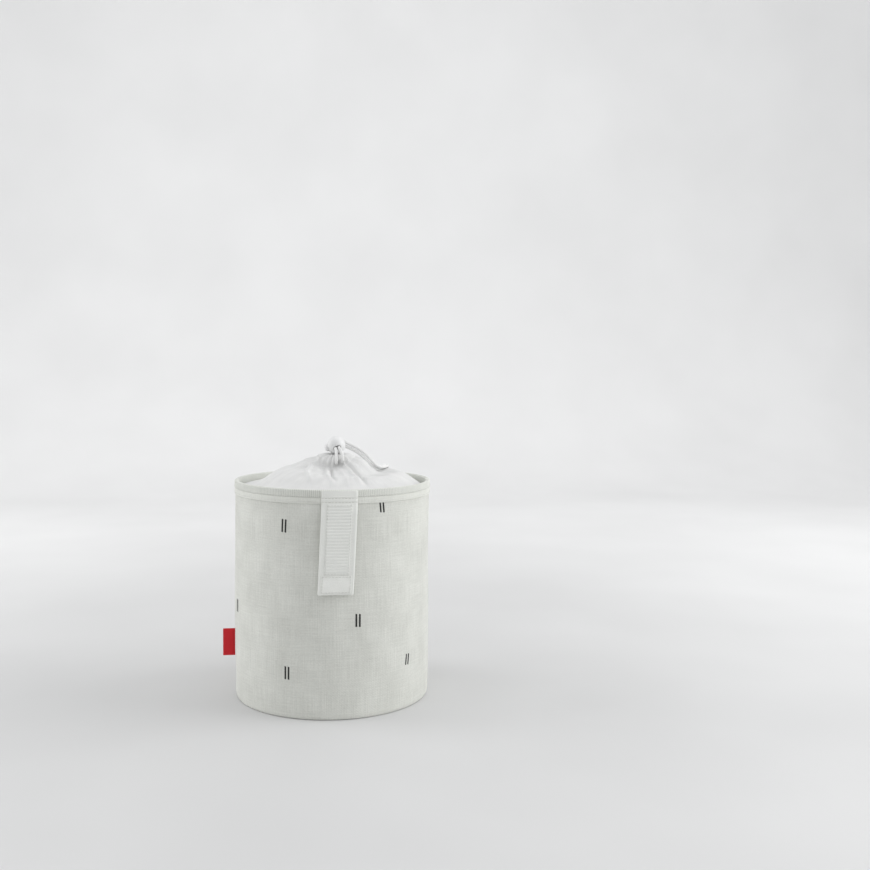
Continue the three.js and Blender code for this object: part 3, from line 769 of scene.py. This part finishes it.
def make_rim():
    crown = [(89.9, TAPE_EDGE + 0.1), (90.3, TAPE_EDGE), (BAND_OUTER, TAPE_EDGE + 0.5)]
    crown += [(BAND_OUTER, z) for z in (195, 196.5, 198, 199.1)]
    crown += [(90.3, 199.6), (89.8, 199.95), (89.0, 200), (88.1, 200), (87.3, 199.95), (86.8, 199.6)]
    crown += [(BAND_INNER, 199.1)]
    crown += [(BAND_INNER, z) for z in (196, 193, 190, BAND_BOTTOM)]
    crown += [(87.2, BAND_BOTTOM), (87.2, 193), (87.2, 198.6), (88.5, 198.6), (89.9, 198.6), (89.9, 196)]
    steps = RIB_COUNT * 4

    def rib(angle, radius, height):
        on_face = radius > 90.2 or radius < 86.9 or height > 199.4
        depth = 0.1 * math.cos(RIB_COUNT * angle) - 0.1 if on_face else 0.0
        pucker = 0.1 * math.sin(29 * angle) * math.sin(11 * angle + 1) if height < 196 and radius > 90 else 0.0
        if height > 199.4:
            return radius, height + depth
        return radius + (depth + pucker) * (1 if radius > 88 else -1), height

    tape = turned("rim_tape", crown, GROSGRAIN, steps, rib)
    settle(tape, "ribbed_tape", "basket", "rim_binding")

    def soft(angle, radius, height):
        puff = 0.06 * math.sin(41 * angle) + 0.05 * math.sin(67 * angle + 1)
        return radius + (puff if radius > 90 else 0), height

    profile = [
        (89.92, 187.9), (90.2, BAND_BOTTOM), (90.42, 188.1), (90.46, 188.9), (90.3, 189.8), (90.4, 190.8),
        (90.38, 192.4), (90.2, 193.3), (89.92, 193.4), (89.92, 191),
    ]
    hem = turned("rim_hem", profile, HEM_CANVAS, 480, soft)
    settle(hem, "canvas", "basket", "rim_binding")


make_rim()


# Side tab: a red tape folded double and caught in the side seam

def make_tab():
    outer = [(-90.4, 0.45), (-92.6, 0.46), (-95.6, 0.48), (-98.6, 0.5), (-100.9, 0.42), (-101.45, 0.2)]
    inner = [(-90.4, -0.07), (-96.6, -0.06), (-100.3, -0.05), (-100.3, 0.05), (-96.6, 0.06), (-90.4, 0.07)]
    sections = []
    for i, z in enumerate(between(35.7, 60.9, 30)):
        wave = 0.12 * math.sin(z / 4.0)
        edge = 0.06 if i in (0, 30) else 0.0
        loop = [(x, y - edge) for x, y in outer] + [(x, edge - y) for x, y in reversed(outer)]
        sections.append([(x, y + wave * (-x - 89.6) / 11, z) for x, y in loop + inner])
    tab = skin("red_side_tab", sections, RED_TAPE)
    settle(tab, "red_tape", "basket", "side_tab")


make_tab()


# Strap

def strap_back(x, z):
    """How far behind the wall's axis the strap's back lies: round on the band, flat below it."""
    round_back = math.sqrt(STRAP_BACK ** 2 - x * x)
    flat = ease((188.6 - z) / 9)
    bow = 0.35 * math.sin(math.pi * min(1, max(0, (188 - z) / 78))) ** 2
    return -(round_back + (STRAP_BACK - round_back) * flat + bow * flat)


def strap_lean(z):
    return -STRAP_LEAN * max(0.0, BAND_BOTTOM - z) / (BAND_BOTTOM - STRAP_BOTTOM)


def strap_front(x, z):
    return strap_back(x, z) - STRAP_THICKNESS


def strap_dot(x, z, proud=0.0):
    """A point so far in front of the strap's own front."""
    return x + strap_lean(z), strap_front(x, z) - proud, z


def webbing_section(z, end=0.0):
    """The webbing cut across at height z; end draws the corners in at a folded end."""
    half = STRAP_HALF - end
    spread = [half * math.sin(math.pi / 2 * s) for s in between(-1, 1, 34)]
    furrow = sum(FURROW_DEPTH * math.exp(-((z - row) / FURROW_HALF) ** 2) for row in SEWN_ROWS)
    points = []
    for x in spread:
        selvedge = 0.16 * ease((abs(x) - SELVEDGE_FROM) / 0.8) - 0.6 * ease((abs(x) - half + 0.9) / 0.9)
        rib = 0.07 * math.cos(TAU * z / STRAP_RIB * 2) * (1 - ease((abs(x) - SELVEDGE_FROM) / 0.5))
        points.append(strap_dot(x, z, selvedge + rib - furrow))
    for x in reversed(spread):
        tuck = 0.5 * ease((abs(x) - half + 0.5) / 0.5)
        points.append((x + strap_lean(z), strap_back(x, z) - tuck, z))
    return points


def facing_strip(name, half, top, bottom, thick, look, rib_depth, rib_pitch, crown=0.0, goes_on=""):
    """A tape sewn flat on the strap's front; it keeps its thickness at the end where it goes on."""
    sections = []
    steps = round((top - bottom) / 0.33)
    for i, z in enumerate(between(top, bottom, steps)):
        end = ease(min(steps if goes_on == "up" else i, steps if goes_on == "down" else steps - i) / 2)
        section = []
        for s in between(-1, 1, 20):
            edge = ease((1 - abs(s)) * half / 0.7) * end
            rib = rib_depth * math.cos(TAU * z / rib_pitch) * edge
            puff = crown * (1 - s * s) * max(0.0, math.sin(math.pi * i / steps)) ** 0.5
            section.append(strap_dot(half * s, z, 0.14 + (thick + rib + puff) * (0.35 + 0.65 * edge)))
        sections.append(section + [strap_dot(half * s, z, 0.12) for s in between(1, -1, 20)])
    return skin(name, sections, look)


LIFT = ("basket", "strap_leg", (0, -0.0932, 0.1889), (0, -0.0932, 0.1862))
FOLD = ("strap_leg", "strap_flap", (0, -0.0939, 0.1441), (0, -0.0939, 0.1362))
HOOK_HALVES = (("upper", 188.0, STRAP_SPLIT, LIFT), ("lower", STRAP_SPLIT, PANEL_BOTTOM, FOLD))


def make_strap():
    upper = skin("strap_upper", [webbing_section(z) for z in between(STRAP_TOP, STRAP_SPLIT, 110)], WEBBING)
    settle(upper, "webbing", LIFT, "strap_sewn_end", "strap_leg")
    sections = [
        webbing_section(z, 0.5 * ease(STRAP_BOTTOM + 1 - z)) for z in between(STRAP_SPLIT, STRAP_BOTTOM, 166)
    ]
    lower = skin("strap_lower", sections, WEBBING)
    settle(lower, "webbing", FOLD, "strap_flap")
    for half, top, bottom, joint in HOOK_HALVES:
        goes_on = "down" if half == "upper" else "up"
        name = f"hook_panel_{half}"
        panel = facing_strip(name, PANEL_HALF, top, bottom, 0.45, HOOK_BASE, 0.12, STRAP_RIB, 0.0, goes_on)
        settle(panel, "closure_tape", joint, "hook_tape", "hook_tape_end")
    pad = facing_strip("loop_pad", PAD_HALF, PAD_TOP, PAD_BOTTOM, 0.5, LOOP_PILE, 0.0, 5.0, crown=0.25)
    settle(pad, "closure_tape", "strap_flap", "loop_tape")


make_strap()


# Stitches, embroidered bars and hooks, each repeated along a guide line

def start_rule(name, numbers):
    """A node group that takes a guide, the numbers named and a yarn. It gives back the group, what it is
    given, and the rotation that stands along the guide's outward way."""
    tree = bpy.data.node_groups.new(name, "GeometryNodeTree")
    takes = [("Geometry", "Geometry"), *((number, "Float") for number in numbers), ("Yarn", "Material")]
    for socket, kind in takes:
        tree.interface.new_socket(socket, in_out="INPUT", socket_type="NodeSocket" + kind)
    tree.interface.new_socket("Geometry", in_out="OUTPUT", socket_type="NodeSocketGeometry")
    given = add_node(tree, "NodeGroupInput").outputs
    outward = add_node(tree, "GeometryNodeInputNamedAttribute", {"Name": "outward"}, data_type="FLOAT_VECTOR")
    way = {"Vector": outward.outputs["Attribute"]}
    return tree, given, made(tree, "FunctionNodeAlignRotationToVector", way, axis="Z")


def place(tree, **parts):
    return made(tree, "ShaderNodeCombineXYZ", parts)


def end_rule(tree, given, arch, sides, points, rotation):
    """One bent thread through the arch's Start, Middle and End stands on every point, and is made real."""
    arch = made(tree, "GeometryNodeCurveQuadraticBezier", arch)
    ring = made(tree, "GeometryNodeCurvePrimitiveCircle", {"Resolution": sides, "Radius": given["Thread"]})
    bent = made(tree, "GeometryNodeCurveToMesh", {"Curve": arch, "Profile Curve": ring, "Fill Caps": True})
    placed = made(tree, "GeometryNodeInstanceOnPoints", {"Points": points, "Instance": bent, "Rotation": rotation})
    real = made(tree, "GeometryNodeRealizeInstances", {"Geometry": placed})
    dressed = made(tree, "GeometryNodeSetMaterial", {"Geometry": real, "Material": given["Yarn"]})
    add_node(tree, "NodeGroupOutput", {"Geometry": dressed})
    return tree


def stitch_rule():
    """Threads along guide lines: one stitch every Spacing, its length, thickness and turn as given."""
    tree, given, stand = start_rule("sewn_thread", ("Spacing", "Length", "Thread", "Turn"))
    line = made(tree, "GeometryNodeMeshToCurve", {"Mesh": given["Geometry"]})
    points = add_node(tree, "GeometryNodeCurveToPoints", {"Curve": line, "Length": given["Spacing"]}, mode="LENGTH")
    inputs = {"Rotation": stand, "Vector": points.outputs["Tangent"]}
    lie = made(tree, "FunctionNodeAlignRotationToVector", inputs, axis="X", pivot_axis="Z")
    swing = made(tree, "FunctionNodeEulerToRotation", {0: place(tree, Z=given["Turn"])})
    inputs = {"Rotation": lie, "Rotate By": swing}
    rotation = made(tree, "FunctionNodeRotateRotation", inputs, rotation_space="LOCAL")
    sunk = reckon(tree, "MULTIPLY", given["Thread"], -0.9)
    return end_rule(tree, given, {
        "Resolution": 5,
        "Start": place(tree, X=reckon(tree, "MULTIPLY", given["Length"], -0.5), Z=sunk),
        "Middle": place(tree, Z=reckon(tree, "MULTIPLY", given["Thread"], 1.3)),
        "End": place(tree, X=reckon(tree, "MULTIPLY", given["Length"], 0.5), Z=sunk),
    }, 6, points.outputs["Points"], rotation)


def hook_rule():
    """A small bent hook of plastic thread on every point of the guide, standing along its outward way."""
    tree, given, stand = start_rule("hook_rows", ("Height", "Thread"))
    over, reach, tip = (reckon(tree, "MULTIPLY", given["Height"], share) for share in (1.5, 0.75, 0.45))
    return end_rule(tree, given, {
        "Resolution": 4,
        "Start": (0.0, 0.0, -0.00005),
        "Middle": place(tree, Z=over),
        "End": place(tree, Y=reach, Z=tip),
    }, 5, given["Geometry"], stand)


STITCH_RULE = stitch_rule()
HOOK_RULE = hook_rule()


def grow(name, rule, lines, values):
    """Runs a rule over guide lines; each line is a list of (point, outward) in millimetres."""
    points, edges, ways = [], [], []
    for line in lines:
        first = len(points)
        for point, outward in line:
            points.append([c * MM for c in point])
            ways += list(outward)
        if rule is STITCH_RULE:
            edges += [(first + i, first + i + 1) for i in range(len(line) - 1)]
    mesh = bpy.data.meshes.new(name + "_guide")
    mesh.from_pydata(points, edges, [])
    mesh.attributes.new("outward", "FLOAT_VECTOR", "POINT").data.foreach_set("vector", ways)
    guide = new_object(name + "_guide", mesh)
    step = guide.modifiers.new("rule", "NODES")
    step.node_group = rule
    for item in rule.interface.items_tree:
        if item.in_out == "INPUT" and item.name in values:
            step[item.identifier] = values[item.name]
    piece = plain_mesh(guide, name)
    piece.data.shade_smooth()
    return piece


def sew(name, lines, look, slot, body, spacing=3.2, length=2.5, thread=0.26, turn=0.0, nodes=()):
    piece = grow(name, STITCH_RULE, lines, {
        "Spacing": spacing * MM, "Length": length * MM, "Thread": thread * MM, "Turn": math.radians(turn),
        "Yarn": look,
    })
    settle(piece, slot, body, *nodes)


def ring_line(radius, height):
    """Nearly a whole turn: its ends stay apart, so that no two stitches overlap there."""
    ways = [way_round(math.radians(degrees)) for degrees in between(-178.5, 178.5, 360)]
    return [(way * radius + UP * height, way) for way in ways]


def wall_line(degrees, middle, length, lean, aside):
    """A short upright line on the wall, leaning by lean degrees and moved aside in millimetres."""
    line = []
    for up in between(-length / 2, length / 2, 12):
        across = aside + math.tan(math.radians(lean)) * up
        angle = math.radians(degrees) + across / BODY_RADIUS
        height = middle + up
        way = way_round(angle)
        line.append((way * (BODY_RADIUS + ripple(angle, height) + 0.05) + UP * height, way))
    return line


def strap_line(xs, zs, proud):
    """A line of points in front of the strap, each with its outward way."""
    return [(strap_dot(x, z, proud), (0, -1, 0)) for z in zs for x in xs]


def make_bars():
    lines = []
    sides = ((-BAR_SPACING / 2, BAR_STAGGER), (BAR_SPACING / 2, -BAR_STAGGER))
    for degrees, share, lean, length in BARS:
        lines += [wall_line(degrees, share * BODY_HEIGHT + up, length, lean, aside) for aside, up in sides]
    for x, up in sides:
        lines.append([
            ((x + run * 0.65 + 9, 48 + run * 0.76 + x, 0.14), (0, 0, -1)) for run in between(-6, 6, 12)
        ])
    sew("embroidered_bars", lines, BLACK_THREAD, "canvas", "basket", 0.36, BAR_WIDTH, 0.24, 78)


def make_seams():
    lines = [ring_line(BAND_OUTER + 0.02, 194.7), ring_line(90.42, 189.6)]
    sew("rim_stitches", lines, SEWING, "ribbed_tape", "basket", 3.0, 2.35)
    lines = [strap_line(between(-14.2, 14.2, 30), [z], -0.12) for z in SEWN_ROWS]
    sew("strap_top_stitches", lines, SEWING, "webbing", "basket", 2.6, 2.0)
    for half, top, bottom, joint in HOOK_HALVES:
        high, low = (top - 1.2, bottom + 0.4) if half == "upper" else (top - 0.8, bottom + 1.2)
        lines = [strap_line([x], between(high, low, 40), 0.72) for x in (-PANEL_SEAM, PANEL_SEAM)]
        lines.append(strap_line(between(-9.4, 9.4, 30), [high if half == "upper" else low], 0.72))
        sew(f"hook_panel_stitches_{half}", lines, SEWING, "closure_tape", joint, 2.6, 2.0, 0.2)
    lines = [strap_line([x], between(125.4, 112.4, 20), 1.0) for x in (-12.1, 12.1)]
    lines += [strap_line(between(-11.5, 11.5, 30), [z], 1.0) for z in (125.6, 112.2)]
    sew("loop_pad_stitches", lines, SEWING, "closure_tape", "strap_flap", 2.6, 2.0, 0.2)
    lines = [[((-92.2, 0.5 * side, z), (0, side, 0)) for z in between(37.6, 59.6, 20)] for side in (-1, 1)]
    sew("tab_stitches", lines, RED_THREAD, "red_tape", "basket", 2.4, 1.8, 0.18)


def make_hooks():
    for half, top, bottom, joint in HOOK_HALVES:
        line = []
        for k in range(44):
            z = 128.9 + STRAP_RIB / 2 * k
            if bottom < z < top:
                line += strap_line(between(-8.8 + 0.3 * (k % 2), 8.8 - 0.3 * (1 - k % 2), 13), [z], 0.62)
        look = {"Height": 0.5 * MM, "Thread": 0.09 * MM, "Yarn": HOOK_YARN}
        settle(grow(f"hook_rows_{half}", HOOK_RULE, [line], look), "closure_tape", joint)


make_bars()
make_seams()
make_hooks()


# Collar: thin cloth dome in folds, pressed down under the cords that lie on it

FOLDS = [
    # how high, how wide in millimetres, then its line: share of the way in, degrees round
    (-2.4, 1.8, ((0.30, -91), (0.47, -94), (0.88, -103), (1.0, -113))),
    (1.3, 2.2, ((0.22, -93), (0.48, -98), (0.85, -112), (1.0, -122))),
    (-0.9, 4.0, ((0.32, -98), (0.74, -112), (0.89, -125), (1.0, -136))),
    (2.0, 2.4, ((0.24, -108), (0.44, -116), (0.79, -141), (0.89, -156), (1.0, -162))),
    (0.8, 2.2, ((0.16, -84), (0.22, -84), (0.74, -81), (1.0, -84))),
    (-2.4, 1.8, ((0.16, -70), (0.39, -68), (0.76, -60), (0.89, -61), (1.0, -60))),
    (1.6, 2.0, ((0.18, -73), (0.40, -73), (0.76, -67), (1.0, -68))),
    (-0.8, 3.0, ((0.30, -40), (0.70, -38), (1.0, -40))),
    (0.9, 4.0, ((0.25, -20), (0.60, -24), (1.0, -26))),
]
tail_track = [p for tail, route in tails for p in route[::4]]


def collar_end(front):
    return hem_place(HEM_END, -HEM_DROP, front)


COLLAR_INNER, COLLAR_TOP = collar_end(0)
COLLAR_STEPS = 480
COLLAR_ROUND = between(0, TAU * SKIRT_RADIUS, COLLAR_STEPS)


def fold_height(share, angle):
    """How far the folds lift the cloth; they start flat at the rim and are deepest near the hem."""
    degrees = math.degrees(angle)
    shown = ease((abs((degrees + 90 + 180) % 360 - 180) - 55) / 35)
    wander = 0.35 * math.sin(3 * angle + 1) + 0.25 * math.sin(7 * angle)
    wide = 2 * abs(math.cos(5.5 * (angle + 0.1 * math.sin(2 * angle)) + 0.2 + wander)) ** 0.8 - 1
    small = 2 * abs(math.cos(11.5 * angle + 0.9 + wander)) ** 0.7 - 1
    grown = ease((share - 0.1) / 0.6)
    height = (0.3 + 0.7 * shown) * (0.9 * grown * wide + 0.45 * ease((share - 0.4) / 0.5) * small)
    height += 0.4 * math.sin(math.pi * share) * math.sin(4 * angle + 6 * share)
    radius = SKIRT_RADIUS - share * (SKIRT_RADIUS - COLLAR_INNER)
    for high, wide_by, line in FOLDS:
        middle = interpolate(line, max(share, line[0][0]))
        away = math.radians((degrees - middle + 180) % 360 - 180) * radius
        if abs(away) < 3 * wide_by:
            height += high * ease((share - line[0][0]) / 0.3) * math.exp(-((away / wide_by) ** 2))
    return height * (1 - 0.45 * ease((share - 0.85) / 0.15))


def collar_line(share, angle):
    """A point of the smooth dome: share 0 at the skirt's top, 1 at the hem."""
    front = ease((share - FRONT_SHARE) / (1 - FRONT_SHARE))
    end_radius, end_height = collar_end(front_share(angle))
    radius = SKIRT_RADIUS - share * (SKIRT_RADIUS - COLLAR_INNER) - front * (COLLAR_INNER - end_radius)
    lean = COLLAR_LEAN * math.sin(math.pi * share) * math.sin(TAU * (share + LEAN_SHARE)) * math.cos(angle)
    rise = (COLLAR_TOP - SKIRT_TOP) * interpolate(DOME, share) - front * (COLLAR_TOP - end_height)
    return Vector((radius * math.cos(angle) + MOUTH_X * share, radius * math.sin(angle), SKIRT_TOP + rise + lean))


def collar_middle(share, angle):
    """The cloth's middle layer with its folds; near the hem it turns up into the hem's own slope."""
    if share <= TURN_UP:
        point = collar_line(share, angle)
    else:
        low, high = collar_line(TURN_UP, angle), hem_point(HEM_END - TUCK, -HEM_DROP, angle)
        way = (low - collar_line(TURN_UP - 0.02, angle)) * (1 - TURN_UP) / 0.02
        into = (high - hem_point(HEM_END + 1, -HEM_DROP, angle)).normalized() * way.length * 1.3
        t = (share - TURN_UP) / (1 - TURN_UP)
        point = (
            low * (2 * t ** 3 - 3 * t ** 2 + 1) + way * (t ** 3 - 2 * t ** 2 + t)
            + high * (3 * t ** 2 - 2 * t ** 3) + into * (t ** 3 - t ** 2)
        )
    return point + Vector((0, 0, fold_height(share, angle)))


def press_under_tails(point, half):
    limit = None
    for cord in tail_track:
        away = math.hypot(point.x - cord.x, point.y - cord.y)
        if away < 6 and cord.z > point.z - 6:
            under = cord.z - CORD / 2 - 0.25 - half + ease((away - 1.2) / 4.8) * 4
            limit = under if limit is None else min(limit, under)
    if limit is not None and point.z > limit:
        point.z = limit
    return point


def make_collar():
    sections = []
    for angle in turns(COLLAR_STEPS):
        line = [way_round(angle) * SKIRT_RADIUS + UP * z for z in (SKIRT_BOTTOM, 190.0, 191.6)]
        line += [press_under_tails(collar_middle(share, angle), COLLAR_HALF) for share in between(0, 1, 72)]
        tangent = way_round(angle + math.pi / 2)
        out, inn = [], []
        for k, point in enumerate(line):
            way = line[min(len(line) - 1, k + 1)] - line[max(0, k - 1)]
            normal = tangent.cross(way).normalized()
            out.append(point + normal * COLLAR_HALF)
            inn.append(point - normal * COLLAR_HALF)
        sections.append([tuple(p) for p in out + inn[::-1]])
    collar = skin("collar_cloth", sections, COLLAR_CLOTH, closed=True, along=COLLAR_ROUND, sharp=70)
    settle(collar, "collar_cloth", "basket", "collar")
    return collar


CREASES = [
    # degrees round, how deep, how wide in degrees
    (-113, 0.75, 5), (-99.5, 0.35, 3), (-82.6, 0.6, 2.6), (-61, 0.75, 5), (-44, 0.5, 5), (-134, 0.6, 6),
]


def hem_skin(turn, angle, proud=0.0):
    """A point of the hem's surface, turn round its oval section, proud of it by so much."""
    degrees = math.degrees(angle)
    shown = ease((abs((degrees + 90 + 180) % 360 - 180) - 45) / 25)
    pleat = shown * 0.6 * (1 - abs(math.sin(9 * angle + 0.5 * math.sin(3 * angle))) ** 0.7)
    for middle, deep, wide in CREASES:
        away = (degrees - middle + 180) % 360 - 180
        pleat += deep * math.exp(-((away / wide) ** 2))
    wide, thick = math.cos(turn), math.sin(turn)
    out = (HEM_WIDE + 0.25 * math.sin(13 * angle) - 0.7 * pleat) * wide
    above = (HEM_THICK - pleat) * thick * (1 - HEM_TAPER * max(0.0, wide) ** 2)
    point = hem_point(out + proud * wide, above + proud * thick, angle)
    point.z += fold_height(1.0, angle) * ease(out / HEM_WIDE)
    return point


def make_hem():
    sections = [[tuple(hem_skin(turn, angle)) for turn in turns(32)] for angle in turns(COLLAR_STEPS)]
    hem = skin("hem_work", sections, COLLAR_CLOTH, closed=True, along=COLLAR_ROUND, sharp=70)
    tunnel = [
        [tuple(hem_point(TUNNEL_OUT + TUNNEL * math.cos(t), TUNNEL * math.sin(t), angle)) for t in turns(16)]
        for angle in turns(96)
    ]
    cutters = [skin("tunnel_work", tunnel, None, closed=True)]
    eyelets = []
    for degrees, name in zip(EYELETS, ("left", "right")):
        angle = math.radians(degrees)
        axis, foot = eyelet_axis(angle), hem_point(TUNNEL_OUT, 0, angle)
        cutters.append(tube("eyelet_work", [foot + axis * s for s in between(0.2, 7.0, 6)], EYELET_BORE, None, 32))
        side = axis.cross(UP).normalized()
        up = side.cross(axis)
        centre, reach = foot + axis * (EYELET_REACH - 0.55), EYELET_BORE + 0.45
        eyelets.append((name, [
            (centre + (side * math.cos(turn) + up * math.sin(turn)) * reach, axis) for turn in between(0, TAU, 48)
        ]))
    hem = cut_away(hem, cutters, "collar_hem", COLLAR_CLOTH, 60)
    settle(hem, "collar_cloth", "basket", "collar_channel")
    for name, line in eyelets:
        sew(
            f"worked_eyelet_{name}", [line], EYELET_THREAD, "cord_yarn", "basket", 0.4, 1.1, 0.2, 90,
            nodes=[f"eyelet_{name}"],
        )
    line, turn = [], math.radians(52)
    for angle in between(math.radians(-50), math.radians(-130) + TAU, 200):
        at = hem_skin(turn, angle, 0.05)
        line.append((at, (hem_skin(turn, angle, 1.0) - at).normalized()))
    sew("hem_stitches", [line], SEWING, "collar_cloth", "basket", 2.2, 1.6, 0.16)
    return hem


collar = make_collar()
hem = make_hem()


# Cord lock

def lock_place(x, y, z):
    return LOCK + BUTTON_WAY * x + BORE_WAY * y + LOCK_UP * z


def lock_turned(name, profile, steps, look):
    """Turned about the button's line, from rows of (place along it, radius)."""
    sections = [
        [tuple(lock_place(x, r * math.cos(turn), r * math.sin(turn))) for x, r in profile] for turn in turns(steps)
    ]
    return skin(name, sections, look, closed=True, sharp=35)


def oval_cutter(name, left, right, height, places):
    """An oval bar along the bore; places are rows of (how far along, how much wider)."""
    sections = []
    for y, wider in places:
        radius = height / 2 + wider
        section = []
        for middle, start in ((right - height / 2, -math.pi / 2), (left + height / 2, math.pi / 2)):
            for turn in between(start, start + math.pi, 12):
                section.append(tuple(lock_place(middle + radius * math.cos(turn), y, radius * math.sin(turn))))
        sections.append(section)
    return skin(name, sections, None)


def make_lock():
    profile = []
    for turn in between(0, math.pi, 48):
        reach = LOCK_RADIUS - 0.12 * math.exp(-((turn - math.pi / 2) / 0.022) ** 2)
        profile.append((-reach * math.cos(turn), reach * math.sin(turn)))
    ball = lock_turned("ball_work", profile, 96, PLASTIC)
    profile = [(7.0, 0), (7.0, 3.65), (-7.2, 3.65), (-7.7, 3.95), (-9.8, 6.0), (-9.8, 0)]
    well = lock_turned("well_work", profile, 64, None)
    half = (CORD_SPACING + CORD) / 2 + 0.3
    flare = [(-9.6, 1.9), (-8.0, 0.5), (-7.3, 0.0), (7.3, 0.0), (8.0, 0.5), (9.6, 1.9)]
    bore = oval_cutter("bore_work", -half, half, 3.7, flare)
    ball = cut_away(ball, [well, bore], "lock_shell", PLASTIC)
    settle(ball, "moulded", "cord_lock", "lock_ball")
    profile = [
        (-10.9, 0), (-10.85, 1.2), (-10.6, 2.3), (-10.2, 3.0), (-9.7, 3.4), (-9.2, 3.5), (4.3, 3.5), (4.5, 3.3),
        (4.5, 0),
    ]
    button = lock_turned("button_work", profile, 64, PLASTIC)
    slot = oval_cutter("slot_work", -half - 1.9, half, 3.6, [(-4.5, 0.5), (-3.2, 0.0), (3.2, 0.0), (4.5, 0.5)])
    button = cut_away(button, [slot], "lock_push_button", PLASTIC)
    settle(button, "moulded", "lock_button", "lock_button")
    coil = []
    for share in between(0, 1, 96):
        turn, wide = TAU * 2 * share, 2.0 + share
        coil.append(lock_place(4.85 + 1.8 * share, wide * math.cos(turn), wide * math.sin(turn)))
    spring = tube("lock_coil_spring", coil, 0.175, WIRE, 10)
    settle(spring, "spring_wire", "cord_lock", "lock_spring")
    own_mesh(spring)


make_lock()

# Hidden stiffeners keep their shape and get the board's finish
for node in ("base_board", "rim_hoop"):
    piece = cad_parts[node]
    piece.data.materials.clear()
    piece.data.materials.append(BOARD)


# Studio

FLOOR_DROP = 0.3
# Strength of the floor's painted glow, an emission that only the camera sees
PAINTED_GLOW = 0.28
LAMPS = [
    # name, place in metres, side of the square, power in watts
    ("window_right", (1.5, -0.25, 0.8), 1.2, 13),
    ("window_left", (-1.5, 0.45, 0.6), 1.0, 10),
    ("overhead", (0.2, 0.3, 1.9), 1.6, 5),
]


def make_floor():
    """A floor that sweeps up behind. Away from the basket and the windows' feet, a painted glow that only the camera
    sees makes it paler, so painted shade lies on the floor round the basket.
    """
    mesh = bpy.data.meshes.new("floor")
    line = [(-2200, 0)]
    line += [(1400 + 600 * math.sin(turn), 600 - 600 * math.cos(turn)) for turn in between(0, math.pi / 2, 24)]
    line += [(2000, 2600)]
    points = [(x, y * MM, (z - FLOOR_DROP) * MM) for y, z in line for x in (-4.0, 4.0)]
    faces = [(2 * i, 2 * i + 1, 2 * i + 3, 2 * i + 2) for i in range(len(line) - 1)]
    mesh.from_pydata(points, [], faces)
    mesh.shade_smooth()
    look = surface("floor_matt_with_painted_glow", streaked, "#CFCFCF", "#D5D5D5", (260, 260, 260, 2), 0.75, specular=0.2, depth=0.01)
    tree = look.node_tree
    # Painted glow: emission seen only by the camera. It is nothing near the basket and the windows' feet and
    # strongest far from them, which leaves painted shade round the basket.
    painted_glow = add_node(tree, "ShaderNodeLightPath").outputs["Is Camera Ray"]
    feet = [(*stand[:2], 0.3, 1.2, 1.0) for name, stand, size, power in LAMPS if name != "overhead"]
    for x, y, near, far, most in [(0, 0, 0.1, 1.3, PAINTED_GLOW), *feet]:
        away = add_node(tree, "ShaderNodeVectorMath", {0: object_point(tree), 1: (x, y, 0.0)}, operation="DISTANCE")
        share = made(tree, "ShaderNodeMapRange", {
            "Value": away.outputs["Value"], "From Min": near, "From Max": far, "To Min": 0.0, "To Max": most,
        }, interpolation_type="SMOOTHSTEP")
        painted_glow = reckon(tree, "MULTIPLY", painted_glow, share)
    shader = next(node for node in tree.nodes if node.type == "BSDF_PRINCIPLED")
    shader.inputs["Emission Color"].default_value = srgb("#F0F0F0")
    tree.links.new(painted_glow, shader.inputs["Emission Strength"])
    new_object("floor", mesh, look)


def make_lights():
    for name, stand, size, power in LAMPS:
        data = bpy.data.lights.new(name, "AREA")
        data.shape = "SQUARE"
        data.size = size
        data.energy = power
        lamp = new_object(name, data)
        lamp.location = stand
        lamp.rotation_mode = "QUATERNION"
        lamp.rotation_quaternion = (Vector((0, 0, 0.1)) - Vector(stand)).to_track_quat("-Z", "Y")
    world = bpy.data.worlds.new("studio_air")
    world.use_nodes = True
    tree = world.node_tree
    tree.nodes.clear()
    path = add_node(tree, "ShaderNodeLightPath").outputs
    seen = reckon(tree, "MAXIMUM", path["Is Camera Ray"], path["Is Glossy Ray"])
    seen = reckon(tree, "MAXIMUM", seen, path["Is Transmission Ray"])
    lighting = made(tree, "ShaderNodeBackground", {"Color": srgb("#F4F5F6"), "Strength": 0.79})
    backdrop = made(tree, "ShaderNodeBackground", {"Color": srgb("#EBEBEB"), "Strength": 1.0})
    mixed = made(tree, "ShaderNodeMixShader", {0: seen, 1: lighting, 2: backdrop})
    add_node(tree, "ShaderNodeOutputWorld", {"Surface": mixed})
    scene.world = world
    scene.view_settings.view_transform = "Standard"


make_floor()
make_lights()
